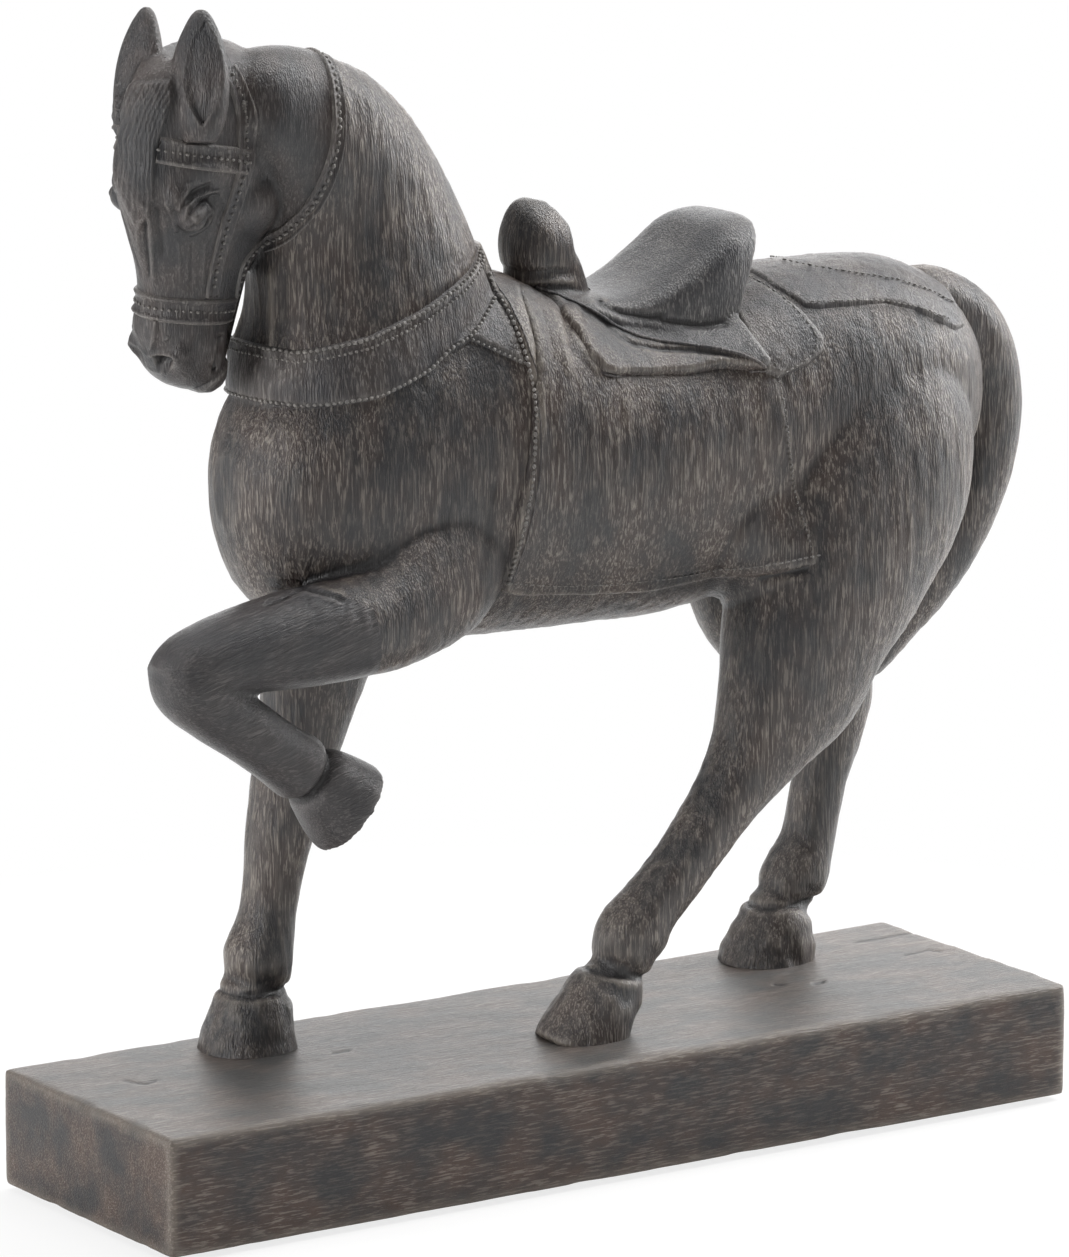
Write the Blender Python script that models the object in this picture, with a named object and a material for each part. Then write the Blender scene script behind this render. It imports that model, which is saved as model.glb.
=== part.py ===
"""Walking horse statue in cast resin, saddled, with one foreleg raised, on a rectangular block.

Frame: metres, +Z up, the horse faces -X and its left side faces -Y. The origin is the centre of the
block's underside. Heights in the tables are measured from the top of the block, in millimetres.
"""

import math

import bmesh
import bpy
import numpy as np
from mathutils import Matrix, Vector

MM = 0.001

# The figure's tables are drawn for a horse of this height over the block, and scaled to the height wanted
DRAWN_HEIGHT = 299.2
HORSE_HEIGHT = 299.2
FIGURE_MM = MM * HORSE_HEIGHT / DRAWN_HEIGHT

# Block
BASE_LENGTH = 300.0
BASE_WIDTH = 88.5
BASE_HEIGHT = 33.0
BASE_EDGE_RADIUS = 2.2

# Round bumper pads under the block's corners
PAD_RADIUS = 5.0
PAD_HEIGHT = 1.6
PAD_SEAT_DEPTH = 1.0
PAD_INSET = 13.0

# Gaps between neighbouring pieces
GLUE_LINE = 0.3
TACK_CLEARANCE = 0.4

# Steel pins that hold the standing hooves, and dowels across the glue joints of the castings
PIN_RADIUS = 1.6
PIN_CLEARANCE = 0.3
PIN_DEPTH_IN_BASE = 18.0
PIN_HEIGHT_IN_HOOF = 11.0
DOWEL_RADIUS = 2.0

# Sculpting
VOXEL = 2.0
HORSE_FACES = 5600

# Rows of a loft: x, y, height, half width across, reach to the plus side, reach to the minus side.
# The plus side is up on the trunk, to the rear on the neck, head and legs, and down on the forearm.
TRUNK = [
    (-100.4, 6.0, 164.0, 7.0, 9.0, 11.0),
    (-96.6, 6.0, 163.5, 15.5, 19.5, 23.0),
    (-89.5, 6.0, 163.5, 22.5, 30.5, 34.0),
    (-75.0, 6.0, 164.0, 27.5, 42.0, 42.0),
    (-57.0, 6.0, 164.0, 30.0, 49.0, 47.0),
    (-36.0, 6.0, 165.0, 31.0, 52.0, 50.0),
    (-15.0, 6.0, 165.0, 31.0, 50.0, 50.5),
    (10.0, 6.0, 163.0, 32.0, 40.0, 49.0),
    (35.0, 6.0, 163.0, 32.5, 37.0, 49.0),
    (58.0, 6.0, 165.0, 32.5, 39.6, 47.5),
    (78.0, 6.0, 167.0, 31.5, 41.8, 43.0),
    (98.0, 6.0, 169.0, 30.5, 40.0, 40.0),
    (117.0, 6.0, 171.0, 27.5, 36.6, 37.0),
    (133.0, 6.0, 172.0, 22.5, 29.0, 32.0),
    (144.5, 6.0, 170.0, 15.0, 20.0, 23.0),
    (150.5, 6.0, 167.5, 6.0, 9.0, 10.0),
]
NECK = [
    (-104.0, -3.0, 269.0, 8.0, 10.0, 8.0),
    (-97.0, -2.0, 268.0, 11.5, 15.6, 13.0),
    (-88.0, -1.0, 264.5, 13.0, 20.4, 17.0),
    (-80.0, 0.0, 259.5, 13.7, 23.6, 20.0),
    (-73.0, 1.0, 253.5, 14.5, 26.2, 24.0),
    (-67.0, 2.5, 245.0, 15.5, 28.6, 28.0),
    (-62.0, 4.0, 234.0, 17.2, 31.6, 31.5),
    (-58.0, 5.0, 220.0, 20.0, 35.0, 34.0),
    (-56.0, 6.0, 205.0, 23.5, 40.0, 37.0),
    (-57.0, 6.0, 188.0, 26.0, 42.0, 38.0),
    (-60.0, 6.0, 168.0, 26.0, 34.0, 34.0),
]
LEFT_HIND_LEG = [
    (100.0, 2.0, 194.0, 14.0, 24.0, 24.0),
    (101.0, -4.0, 173.0, 20.0, 37.0, 35.0),
    (98.0, -8.5, 150.0, 21.0, 40.0, 38.0),
    (89.0, -12.0, 128.0, 19.5, 34.0, 34.5),
    (79.0, -14.5, 108.0, 17.0, 27.0, 27.4),
    (71.0, -16.0, 90.0, 14.0, 22.5, 22.2),
    (62.5, -16.5, 75.5, 11.5, 13.0, 17.0),
    (52.5, -16.5, 64.0, 9.6, 9.4, 11.6),
    (42.5, -16.5, 54.0, 8.6, 9.2, 9.0),
    (32.5, -16.5, 43.5, 8.0, 9.2, 8.0),
    (24.5, -16.2, 35.0, 8.0, 9.2, 8.6),
    (18.8, -15.8, 27.5, 9.2, 10.0, 10.6),
    (15.8, -15.3, 21.5, 8.5, 8.8, 9.2),
    (14.0, -15.1, 17.8, 7.6, 7.6, 7.4),
    (12.4, -15.0, 14.8, 9.4, 9.6, 9.6),
    (7.6, -15.0, 8.0, 11.0, 10.8, 11.4),
    (3.0, -15.0, 0.0, 12.0, 11.6, 12.4),
    (0.0, -15.0, -5.0, 12.6, 12.0, 13.0),
]
RIGHT_HIND_LEG = [
    (98.0, 12.0, 194.0, 14.0, 22.0, 24.0),
    (98.0, 19.0, 173.0, 18.0, 34.0, 34.0),
    (98.0, 23.0, 150.0, 19.0, 34.0, 37.0),
    (98.0, 24.0, 128.0, 18.0, 29.0, 34.0),
    (101.0, 25.0, 109.0, 15.5, 23.0, 30.0),
    (109.0, 26.0, 92.5, 12.5, 16.0, 20.0),
    (117.5, 26.0, 80.0, 10.5, 12.5, 12.5),
    (118.5, 26.5, 68.5, 9.0, 9.5, 9.0),
    (115.0, 27.0, 55.0, 8.0, 8.0, 8.0),
    (112.0, 27.0, 43.0, 7.6, 7.6, 7.6),
    (109.5, 27.0, 34.0, 8.0, 8.2, 7.0),
    (106.0, 27.0, 26.5, 9.4, 9.8, 8.2),
    (103.0, 27.0, 20.5, 8.8, 8.6, 8.6),
    (101.5, 27.0, 17.2, 7.6, 7.4, 7.4),
    (100.0, 27.0, 14.6, 9.6, 9.2, 9.6),
    (98.0, 27.0, 7.5, 11.6, 12.2, 12.4),
    (96.0, 27.0, 0.0, 12.8, 13.2, 14.0),
    (95.0, 27.0, -5.0, 13.4, 12.6, 14.6),
]
RIGHT_FORELEG = [
    (-60.0, 18.0, 158.0, 14.0, 26.0, 26.0),
    (-59.0, 21.0, 134.0, 14.0, 23.0, 23.0),
    (-59.0, 24.0, 115.0, 12.5, 18.0, 18.0),
    (-61.5, 26.0, 99.0, 11.0, 14.5, 14.5),
    (-65.0, 27.0, 84.0, 10.5, 12.0, 12.0),
    (-68.0, 27.0, 70.0, 10.0, 10.0, 11.2),
    (-71.0, 27.0, 57.0, 8.8, 8.6, 10.0),
    (-73.0, 27.0, 48.0, 8.0, 8.0, 8.8),
    (-75.0, 27.0, 39.0, 7.8, 7.8, 7.8),
    (-76.5, 27.0, 32.0, 8.6, 8.6, 8.6),
    (-78.0, 27.0, 25.5, 9.6, 9.3, 10.0),
    (-78.5, 27.0, 20.5, 9.0, 8.8, 9.0),
    (-79.0, 27.0, 17.6, 8.2, 8.0, 8.2),
    (-79.8, 27.0, 15.0, 10.0, 10.8, 10.0),
    (-81.0, 27.0, 8.0, 11.8, 12.4, 12.2),
    (-82.0, 27.0, 0.0, 13.2, 13.8, 14.0),
    (-82.6, 27.0, -5.0, 13.8, 13.2, 14.6),
]
RAISED_FOREARM = [
    (-38.0, -10.0, 150.0, 14.0, 20.0, 20.0),
    (-48.0, -14.0, 138.0, 14.0, 21.0, 20.0),
    (-63.0, -18.0, 129.0, 13.5, 15.0, 16.0),
    (-81.0, -20.0, 126.5, 12.8, 13.4, 14.4),
    (-99.0, -20.5, 126.0, 12.2, 13.0, 13.4),
    (-115.0, -21.0, 125.5, 11.4, 12.0, 11.0),
    (-129.0, -21.0, 122.5, 10.6, 11.0, 9.4),
    (-137.0, -21.0, 118.0, 7.0, 7.0, 7.0),
]
RAISED_CANNON = [
    (-132.0, -21.0, 125.6, 9.0, 8.0, 8.0),
    (-129.0, -21.0, 117.8, 10.4, 10.2, 10.4),
    (-120.5, -21.0, 109.0, 9.6, 9.8, 8.8),
    (-110.0, -21.0, 101.5, 9.0, 9.2, 8.4),
    (-100.5, -20.5, 95.0, 8.6, 8.8, 8.8),
    (-94.2, -20.0, 90.6, 9.1, 9.3, 9.4),
    (-91.0, -20.0, 88.4, 7.6, 7.6, 7.6),
    (-88.5, -20.0, 86.4, 9.8, 9.8, 10.0),
    (-83.0, -20.0, 82.2, 11.2, 11.4, 13.2),
    (-77.6, -20.0, 78.0, 12.4, 12.4, 15.0),
]
TAIL = [
    (116.0, 6.0, 192.0, 6.0, 6.0, 6.0),
    (130.0, 6.0, 195.0, 9.0, 9.0, 9.0),
    (141.0, 6.0, 191.0, 10.5, 10.5, 10.5),
    (150.3, 7.0, 182.5, 11.5, 11.5, 11.5),
    (155.4, 8.0, 170.0, 12.0, 12.0, 12.0),
    (156.2, 8.5, 155.0, 12.0, 12.0, 12.0),
    (152.9, 9.0, 139.0, 11.5, 11.5, 11.5),
    (146.9, 10.0, 124.0, 10.5, 10.5, 10.5),
    (139.2, 12.0, 111.0, 9.6, 9.6, 9.6),
    (131.2, 16.0, 99.0, 8.4, 8.4, 8.4),
    (125.0, 19.0, 89.0, 6.8, 6.8, 6.8),
    (121.0, 21.0, 82.0, 4.0, 4.0, 4.0),
]

# The head is modelled facing -X with its brow line at x = 0, then turned about the top of the brow
HEAD_PLACE = (-139.0, -4.5, 283.0)
HEAD_TURN = 12.0
HEAD_ROLL = 6.0
HEAD_TUCK = 9.0
HEAD = [
    (25.0, 0.0, -1.0, 8.0, 12.0, 12.0),
    (24.8, 0.0, -4.0, 10.8, 17.2, 16.6),
    (25.8, 0.0, -10.0, 13.0, 22.2, 21.4),
    (28.2, 0.0, -18.0, 14.3, 25.8, 25.2),
    (28.3, 0.0, -25.0, 15.1, 27.7, 27.3),
    (28.1, 0.0, -31.0, 16.4, 28.9, 28.9),
    (28.5, 0.0, -38.0, 16.0, 28.5, 28.5),
    (27.7, 0.0, -45.0, 15.0, 26.3, 26.3),
    (25.5, 0.0, -52.0, 13.8, 25.4, 22.5),
    (22.6, 0.0, -60.0, 12.3, 21.8, 17.9),
    (19.3, 0.0, -68.0, 11.5, 18.4, 14.7),
    (16.8, 0.0, -75.0, 11.8, 16.0, 14.2),
    (16.6, 0.0, -80.0, 12.2, 12.8, 12.8),
    (17.2, 0.0, -86.0, 11.9, 10.8, 12.2),
    (18.9, 0.0, -91.5, 10.4, 7.9, 9.6),
    (20.6, 0.0, -95.0, 7.0, 5.0, 5.6),
]

# Rounded bulges on both sides of the head, in the head's own frame: x, distance off centre, z, radius
HEAD_BULGES = [
    (8.5, 9.5, -36.0, 4.2),
    (10.8, 13.2, -41.5, 4.4),
    (33.5, 3.5, -44.0, 14.0),
    (9.0, 7.2, -81.5, 4.2),
]

# An ear stands up from its root: the front is hollow and the tip is drawn in
EAR = [
    (0.0, 0.0, -1.0, 4.6, 3.6, 3.6),
    (0.0, 0.0, 3.0, 6.4, 4.6, 4.6),
    (0.0, 0.0, 9.0, 7.7, 4.8, 4.8),
    (0.3, 0.0, 16.0, 7.9, 4.4, 4.4),
    (0.9, 0.0, 23.0, 6.9, 3.6, 3.6),
    (1.6, 0.0, 29.0, 4.7, 2.6, 2.6),
    (2.1, 0.0, 32.6, 2.7, 1.7, 1.7),
    (2.3, 0.0, 34.2, 1.0, 0.8, 0.8),
]
EAR_HOLLOW = [
    (-5.0, 0.0, 6.5, 1.2, 2.0, 2.0),
    (-4.6, 0.0, 10.0, 4.4, 4.2, 4.2),
    (-4.2, 0.0, 16.5, 5.6, 4.6, 4.6),
    (-3.2, 0.0, 24.0, 3.8, 3.8, 3.8),
    (-1.6, 0.0, 29.5, 1.2, 2.0, 2.0),
]
EARS = {
    "left_ear": ((-118.6, -11.5, 263.6), 50.0),
    "right_ear": ((-127.0, 7.2, 263.0), 14.0),
}
EAR_SPREAD = 4.0

# Saddle
POMMEL = [
    (0.5, 6.0, 234.6, 3.0, 3.0, 3.0),
    (0.0, 6.0, 232.5, 5.6, 6.4, 6.4),
    (-0.6, 6.0, 228.0, 8.6, 10.4, 7.8),
    (-0.6, 6.0, 222.5, 9.8, 11.6, 8.9),
    (0.4, 6.0, 217.0, 9.6, 11.8, 9.0),
    (1.6, 6.0, 212.0, 9.2, 13.4, 8.8),
    (2.4, 6.0, 205.0, 10.0, 14.6, 9.6),
    (2.4, 6.0, 196.0, 10.0, 14.6, 9.6),
]
SEAT = [
    (3.0, 6.0, 198.0, 14.0, 11.5, 10.0),
    (12.0, 6.0, 197.5, 17.0, 10.6, 12.0),
    (22.0, 6.0, 197.0, 18.5, 10.8, 12.0),
    (32.0, 6.0, 198.5, 20.0, 13.8, 12.0),
    (43.0, 6.0, 202.0, 21.0, 18.0, 13.0),
    (53.0, 6.0, 205.0, 21.0, 20.8, 14.0),
    (61.0, 6.0, 207.5, 19.4, 18.9, 14.0),
    (66.8, 6.0, 211.0, 16.6, 14.2, 9.0),
    (70.4, 6.0, 214.5, 13.0, 9.0, 5.0),
]

# Side view outlines of the harness: x and height. Each piece is a shell cut out along its outline.
BLANKET_OUTLINE = [
    (-26.0, 226.0), (-25.0, 217.0), (-22.0, 208.0), (-20.5, 196.0), (-20.0, 187.0), (-21.0, 178.0),
    (-23.0, 165.0), (-26.0, 155.0), (-28.0, 135.0), (-27.0, 131.0), (-21.0, 129.0), (-2.0, 127.0),
    (21.0, 125.0), (45.0, 126.0), (60.0, 126.5), (75.0, 129.0), (76.0, 132.0), (70.0, 145.0),
    (67.0, 155.0), (63.0, 170.0), (59.0, 181.0), (54.5, 190.0), (54.5, 226.0),
]
SKIRT_OUTLINE = [
    (-2.0, 214.0), (-2.5, 192.0), (4.0, 187.0), (19.0, 186.0), (33.0, 185.0), (45.0, 186.0),
    (56.0, 184.5), (60.5, 185.5), (58.0, 192.0), (55.0, 202.0), (50.0, 214.0),
]
REAR_FLAP_OUTLINE = [
    (55.3, 226.0), (55.3, 190.6), (57.5, 184.0), (62.0, 182.5), (73.0, 185.0), (79.0, 188.0),
    (80.0, 192.0), (76.0, 199.0), (70.0, 205.0), (65.5, 210.0), (65.5, 226.0),
]
CRUPPER_OUTLINE = [
    (71.6, 228.0), (71.6, 205.3), (77.5, 199.6), (81.0, 198.9), (95.0, 198.7),
    (105.0, 198.3), (115.0, 195.5), (123.0, 191.5), (130.0, 188.0), (136.0, 188.0), (136.0, 228.0),
]
COLLAR_OUTLINE = [
    (-112.0, 193.0), (-107.0, 190.0), (-87.0, 187.0), (-67.0, 189.0), (-51.0, 194.5), (-43.8, 199.0),
    (-36.0, 201.6), (-30.0, 198.5), (-21.4, 194.4), (-21.7, 199.0), (-22.8, 205.0), (-25.6, 216.5),
    (-27.0, 222.0), (-35.0, 219.0), (-51.0, 212.0), (-69.0, 206.0), (-87.0, 203.0), (-96.5, 204.5),
    (-102.0, 201.0),
]
NECK_STRAP_OUTLINE = [
    (-77.0, 296.0), (-76.8, 288.0), (-76.6, 280.0), (-77.7, 271.0), (-77.7, 264.8), (-78.3, 259.4),
    (-79.5, 254.4), (-80.9, 250.4), (-82.5, 245.8), (-84.2, 242.0), (-87.4, 237.8), (-90.3, 233.8),
    (-93.5, 230.4), (-99.0, 228.8), (-99.0, 224.4), (-92.0, 226.0), (-87.6, 230.6), (-84.0, 234.8),
    (-80.3, 240.2), (-78.2, 245.2), (-76.4, 250.4), (-75.0, 255.0), (-73.7, 260.4), (-73.2, 264.8),
    (-73.3, 270.0), (-72.0, 280.0), (-72.2, 288.0), (-72.4, 296.0),
]

# Side view outlines of the bridle in the head's own frame
NOSEBAND_OUTLINE = [
    (-20.0, -62.5), (1.0, -68.4), (12.0, -72.2), (42.0, -79.5), (42.0, -72.6), (12.0, -65.8), (1.0, -62.0),
    (-20.0, -56.5),
]
BROWBAND_OUTLINE = [
    (-20.0, -18.0), (-3.3, -23.0), (6.3, -26.5), (18.8, -30.8), (25.3, -32.8), (26.1, -26.4), (18.8, -24.0),
    (6.3, -19.7), (-3.3, -16.3), (-20.0, -11.5),
]
CHEEK_STRAP_OUTLINE = [
    (27.2, -11.0), (31.2, -11.0), (31.0, -28.0), (27.6, -47.0), (23.6, -62.6), (19.9, -61.8),
    (23.6, -46.0), (27.0, -28.0),
]

# Thickness of each layer of the harness
BLANKET_THICKNESS = 1.3
SKIRT_THICKNESS = 1.3
STRAP_THICKNESS = 1.3
REAR_FLAP_THICKNESS = 1.6

# Where the casting is divided, in side view, with the span across and the dowel of each joint
HEAD_REGION = [
    (-165.0, 185.0), (-112.0, 185.0), (-95.8, 203.0), (-93.0, 230.0), (-68.0, 292.0), (-80.0, 320.0),
    (-165.0, 320.0),
]
RAISED_LEG_REGION = [
    (-60.0, 97.0), (-72.0, 108.0), (-77.0, 134.0), (-89.0, 140.5), (-102.0, 140.5), (-160.0, 156.0),
    (-160.0, 50.0), (-60.0, 50.0),
]
STANDING_LEG_REGION = [(-112.0, GLUE_LINE), (-30.0, GLUE_LINE), (-30.0, 95.0), (-112.0, 95.0)]
LEFT_HIND_REGION = [(-30.0, GLUE_LINE), (125.0, GLUE_LINE), (125.0, 99.0), (-30.0, 99.0)]
RIGHT_HIND_REGION = [(50.0, GLUE_LINE), (150.0, GLUE_LINE), (150.0, 99.0), (50.0, 99.0)]
CENTRE_Y = 6.0
FAR_SIDE = 80.0

# Dowels: middle, direction, half length
DOWELS = {
    "head_dowel": ((-80.5, -0.5, 260.0), (-0.93, 0.0, 0.37), 9.0),
    "raised_leg_dowel": ((-74.5, -19.0, 121.5), (-0.98, 0.0, 0.19), 9.0),
    "standing_leg_dowel": ((-62.5, 25.5, 95.0), (0.0, 0.0, 1.0), 8.0),
    "left_hind_dowel": ((75.0, -14.0, 99.0), (0.0, 0.0, 1.0), 8.0),
    "right_hind_dowel": ((104.5, 25.5, 99.0), (0.0, 0.0, 1.0), 8.0),
    "tail_dowel": ((143.5, 6.5, 186.0), (0.95, 0.0, -0.31), 8.0),
}
PINS = {
    "left_hind_pin": (6.0, -15.0),
    "right_hind_pin": (98.5, 27.0),
    "standing_leg_pin": (-79.6, 26.8),
}

RESIN = ((0.085, 0.075, 0.070), 0.42, 0.0)
HARNESS = ((0.120, 0.105, 0.096), 0.45, 0.0)
SADDLE = ((0.150, 0.140, 0.132), 0.38, 0.0)
BLOCK = ((0.190, 0.165, 0.150), 0.40, 0.0)
STEEL = ((0.480, 0.480, 0.470), 0.32, 1.0)
BUMPER = ((0.030, 0.030, 0.030), 0.80, 0.0)


def spline_rows(rows, steps):
    """Rows along a Catmull-Rom curve through the given ones, with the given number of steps a span."""
    table = np.array(rows, float)
    padded = np.vstack([2 * table[0] - table[1], table, 2 * table[-1] - table[-2]])
    made = []
    for i in range(1, len(padded) - 2):
        a, b, c, d = padded[i - 1 : i + 3]
        for step in range(steps):
            t = step / steps
            made.append(
                0.5 * (2 * b + (c - a) * t + (2 * a - 5 * b + 4 * c - d) * t * t + (3 * b - a - 3 * c + d) * t**3)
            )
    made.append(padded[-2])
    return np.array(made)


def mesh_from(name, working):
    """New mesh data from a working mesh, which is then freed."""
    bmesh.ops.recalc_face_normals(working, faces=working.faces)
    data = bpy.data.meshes.new(name)
    working.to_mesh(data)
    working.free()
    return data


def loft(name, rows, sides=24, steps=3, squareness=2.2, facing=None):
    """A closed skin through rounded rings, square to the line of their centres or facing one way."""
    table = spline_rows(rows, steps)
    centres = table[:, :3]
    tangents = np.gradient(centres, axis=0)
    mesh = bmesh.new()
    rings = []
    for centre, tangent, (across, plus, minus) in zip(centres, tangents, table[:, 3:6]):
        along = Vector(facing or tangent).normalized()
        side = Vector((0.0, 1.0, 0.0))
        side = (side - side.dot(along) * along).normalized()
        up = along.cross(side)
        ring = []
        for k in range(sides):
            turn = 2 * math.pi * k / sides
            c, s = math.cos(turn), math.sin(turn)
            c = math.copysign(abs(c) ** (2 / squareness), c)
            s = math.copysign(abs(s) ** (2 / squareness), s)
            reach = plus if s > 0 else minus
            ring.append(mesh.verts.new((Vector(centre) + side * (c * across) + up * (s * reach)) * FIGURE_MM))
        rings.append(ring)
    for lower, upper in zip(rings, rings[1:]):
        for k in range(sides):
            mesh.faces.new((lower[k], lower[(k + 1) % sides], upper[(k + 1) % sides], upper[k]))
    mesh.faces.new(rings[0][::-1])
    mesh.faces.new(rings[-1])
    return mesh_from(name, mesh)


def ball(name, centre, radius):
    mesh = bmesh.new()
    bmesh.ops.create_icosphere(
        mesh, subdivisions=3, radius=radius * FIGURE_MM, matrix=Matrix.Translation(Vector(centre) * FIGURE_MM)
    )
    return mesh_from(name, mesh)


def rod(name, centre, direction, half_length, radius, sides=16):
    """A cylinder about the given middle."""
    mesh = bmesh.new()
    turn = Vector(direction).to_track_quat("Z", "Y").to_matrix().to_4x4()
    bmesh.ops.create_cone(
        mesh, cap_ends=True, segments=sides, radius1=radius * MM, radius2=radius * MM,
        depth=2 * half_length * MM, matrix=Matrix.Translation(Vector(centre) * MM) @ turn,
    )
    return mesh_from(name, mesh)


def placed(point):
    """A point of the figure's tables in mm."""
    return tuple(value * FIGURE_MM / MM for value in point)


def grown(outline, amount):
    """The outline with each side moved out by the given amount."""
    points = [Vector(point) for point in outline]
    area = sum(a.x * b.y - b.x * a.y for a, b in zip(points, points[1:] + points[:1]))
    outward = 1.0 if area > 0 else -1.0
    moved = []
    for i, point in enumerate(points):
        before = (point - points[i - 1]).normalized()
        after = (points[(i + 1) % len(points)] - point).normalized()
        first = Vector((before.y, -before.x)) * outward
        second = Vector((after.y, -after.x)) * outward
        middle = (first + second).normalized()
        moved.append(point + middle * (amount / max(0.4, middle.dot(first))))
    return moved


def prism(name, outline, low_y, high_y, grow=0.0):
    """The outline, drawn in side view, pulled out from low_y to high_y."""
    mesh = bmesh.new()
    points = grown(outline, grow) if grow else outline
    near = [mesh.verts.new(Vector((x, low_y - grow, z)) * FIGURE_MM) for x, z in points]
    far = [mesh.verts.new(Vector((x, high_y + grow, z)) * FIGURE_MM) for x, z in points]
    mesh.faces.new(near)
    mesh.faces.new(far[::-1])
    for i in range(len(points)):
        j = (i + 1) % len(points)
        mesh.faces.new((near[i], far[i], far[j], near[j]))
    return mesh_from(name, mesh)


def head_matrix():
    turn = Matrix.Rotation(math.radians(HEAD_TURN), 4, "Z")
    roll = Matrix.Rotation(math.radians(HEAD_ROLL), 4, "X")
    tuck = Matrix.Rotation(math.radians(-HEAD_TUCK), 4, "Y")
    return Matrix.Translation(Vector(HEAD_PLACE) * FIGURE_MM) @ turn @ roll @ tuck


def link(name, data):
    obj = bpy.data.objects.new(name, data)
    bpy.context.scene.collection.objects.link(obj)
    return obj


def evaluated_mesh(obj):
    """The mesh that the object's modifiers make, after which the object is removed."""
    graph = bpy.context.evaluated_depsgraph_get()
    data = bpy.data.meshes.new_from_object(obj.evaluated_get(graph), depsgraph=graph)
    bpy.data.objects.remove(obj)
    return data


def joined(name, meshes):
    made = bmesh.new()
    for data in meshes:
        made.from_mesh(data)
    return mesh_from(name, made)


def sculpted(name, meshes, faces, rounds=3):
    """One skin round all the meshes, softened where they meet and brought down to a number of faces."""
    obj = link(name, joined(name, meshes))
    remesh = obj.modifiers.new("one_skin", "REMESH")
    remesh.mode = "VOXEL"
    remesh.voxel_size = VOXEL * MM
    remesh.adaptivity = 0.0
    soften = obj.modifiers.new("soften", "SMOOTH")
    soften.factor = 0.5
    soften.iterations = rounds
    data = evaluated_mesh(obj)
    obj = link(name, data)
    thin = obj.modifiers.new("fewer_faces", "DECIMATE")
    thin.ratio = min(1.0, faces / (2 * len(data.polygons)))
    return evaluated_mesh(obj)


def combined(data, tools, operation):
    """The mesh cut by, or shared with, each tool mesh in turn."""
    for tool_data in tools:
        obj = link("work", data)
        tool = link("tool", tool_data)
        tool.display_type = "WIRE"
        tool.hide_render = True
        cut = obj.modifiers.new("cut", "BOOLEAN")
        cut.solver = "EXACT"
        cut.operation = operation
        cut.object = tool
        data = evaluated_mesh(obj)
        bpy.data.objects.remove(tool)
    return data


def less(data, *tools):
    return combined(data, tools, "DIFFERENCE")


def within(data, *tools):
    return combined(data, tools, "INTERSECT")


def swollen(data, amount):
    """The skin moved out along its normals."""
    mesh = bmesh.new()
    mesh.from_mesh(data)
    mesh.normal_update()
    moves = [vert.normal * (amount * MM) for vert in mesh.verts]
    for vert, move in zip(mesh.verts, moves):
        vert.co += move
    return mesh_from(data.name, mesh)


def largest(data):
    """Only the connected piece with the most faces, with stray points welded."""
    mesh = bmesh.new()
    mesh.from_mesh(data)
    bmesh.ops.remove_doubles(mesh, verts=mesh.verts, dist=0.0015 * MM)
    bmesh.ops.dissolve_degenerate(mesh, edges=mesh.edges, dist=0.002 * MM)
    seen = set()
    best = []
    for start in mesh.faces:
        if start in seen:
            continue
        seen.add(start)
        group = [start]
        for face in group:
            for edge in face.edges:
                for other in edge.link_faces:
                    if other not in seen:
                        seen.add(other)
                        group.append(other)
        if len(group) > len(best):
            best = group
    keep = set(best)
    bmesh.ops.delete(mesh, geom=[face for face in mesh.faces if face not in keep], context="FACES")
    bmesh.ops.triangulate(mesh, faces=mesh.faces)
    return mesh_from(data.name, mesh)


def finish(name, data, look, smooth=True):
    """The finished piece, lifted so that the block's underside is at zero, with a material of its own."""
    data.transform(Matrix.Translation((0.0, 0.0, BASE_HEIGHT * MM)))
    data.name = name
    colour, roughness, metallic = look
    material = bpy.data.materials.new(name)
    material.use_nodes = True
    shader = material.node_tree.nodes["Principled BSDF"]
    shader.inputs["Base Color"].default_value = (*colour, 1.0)
    shader.inputs["Roughness"].default_value = roughness
    shader.inputs["Metallic"].default_value = metallic
    data.materials.clear()
    data.materials.append(material)
    for face in data.polygons:
        face.material_index = 0
    if smooth:
        data.set_sharp_from_angle(angle=math.radians(40))
    return link(name, data)


def horse_skin():
    head = [loft("head", HEAD, squareness=2.0, facing=(0.0, 0.0, -1.0))]
    for x, off_centre, z, radius in HEAD_BULGES:
        head.append(ball("bulge", (x, -off_centre, z), radius))
        head.append(ball("bulge", (x, off_centre, z), radius))
    for data in head:
        data.transform(head_matrix())
    shapes = [
        loft("trunk", TRUNK, facing=(1.0, 0.0, 0.0)),
        loft("neck", NECK),
        loft("left_hind_leg", LEFT_HIND_LEG),
        loft("right_hind_leg", RIGHT_HIND_LEG),
        loft("right_foreleg", RIGHT_FORELEG),
        loft("raised_forearm", RAISED_FOREARM),
        loft("raised_cannon", RAISED_CANNON),
    ]
    return sculpted("horse", shapes + head, HORSE_FACES)


def ear_shape(name, rows, root, turn, sides):
    """An ear's form or its hollow, stood up on the head."""
    data = loft(name, rows, sides=sides, steps=2)
    stand = Matrix.Rotation(math.radians(turn), 4, "Z") @ Matrix.Rotation(math.radians(EAR_SPREAD), 4, "Y")
    data.transform(Matrix.Translation(Vector(root) * FIGURE_MM) @ stand)
    return data


def shell(horse, low, high, region):
    """The part of a layer over the horse, from low to high off its skin, that lies in the region."""
    return less(within(swollen(horse, high), region), swollen(horse, low))


def head_prism(outline, low_y, high_y):
    data = prism("strap", outline, low_y, high_y)
    data.transform(head_matrix())
    return data


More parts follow.
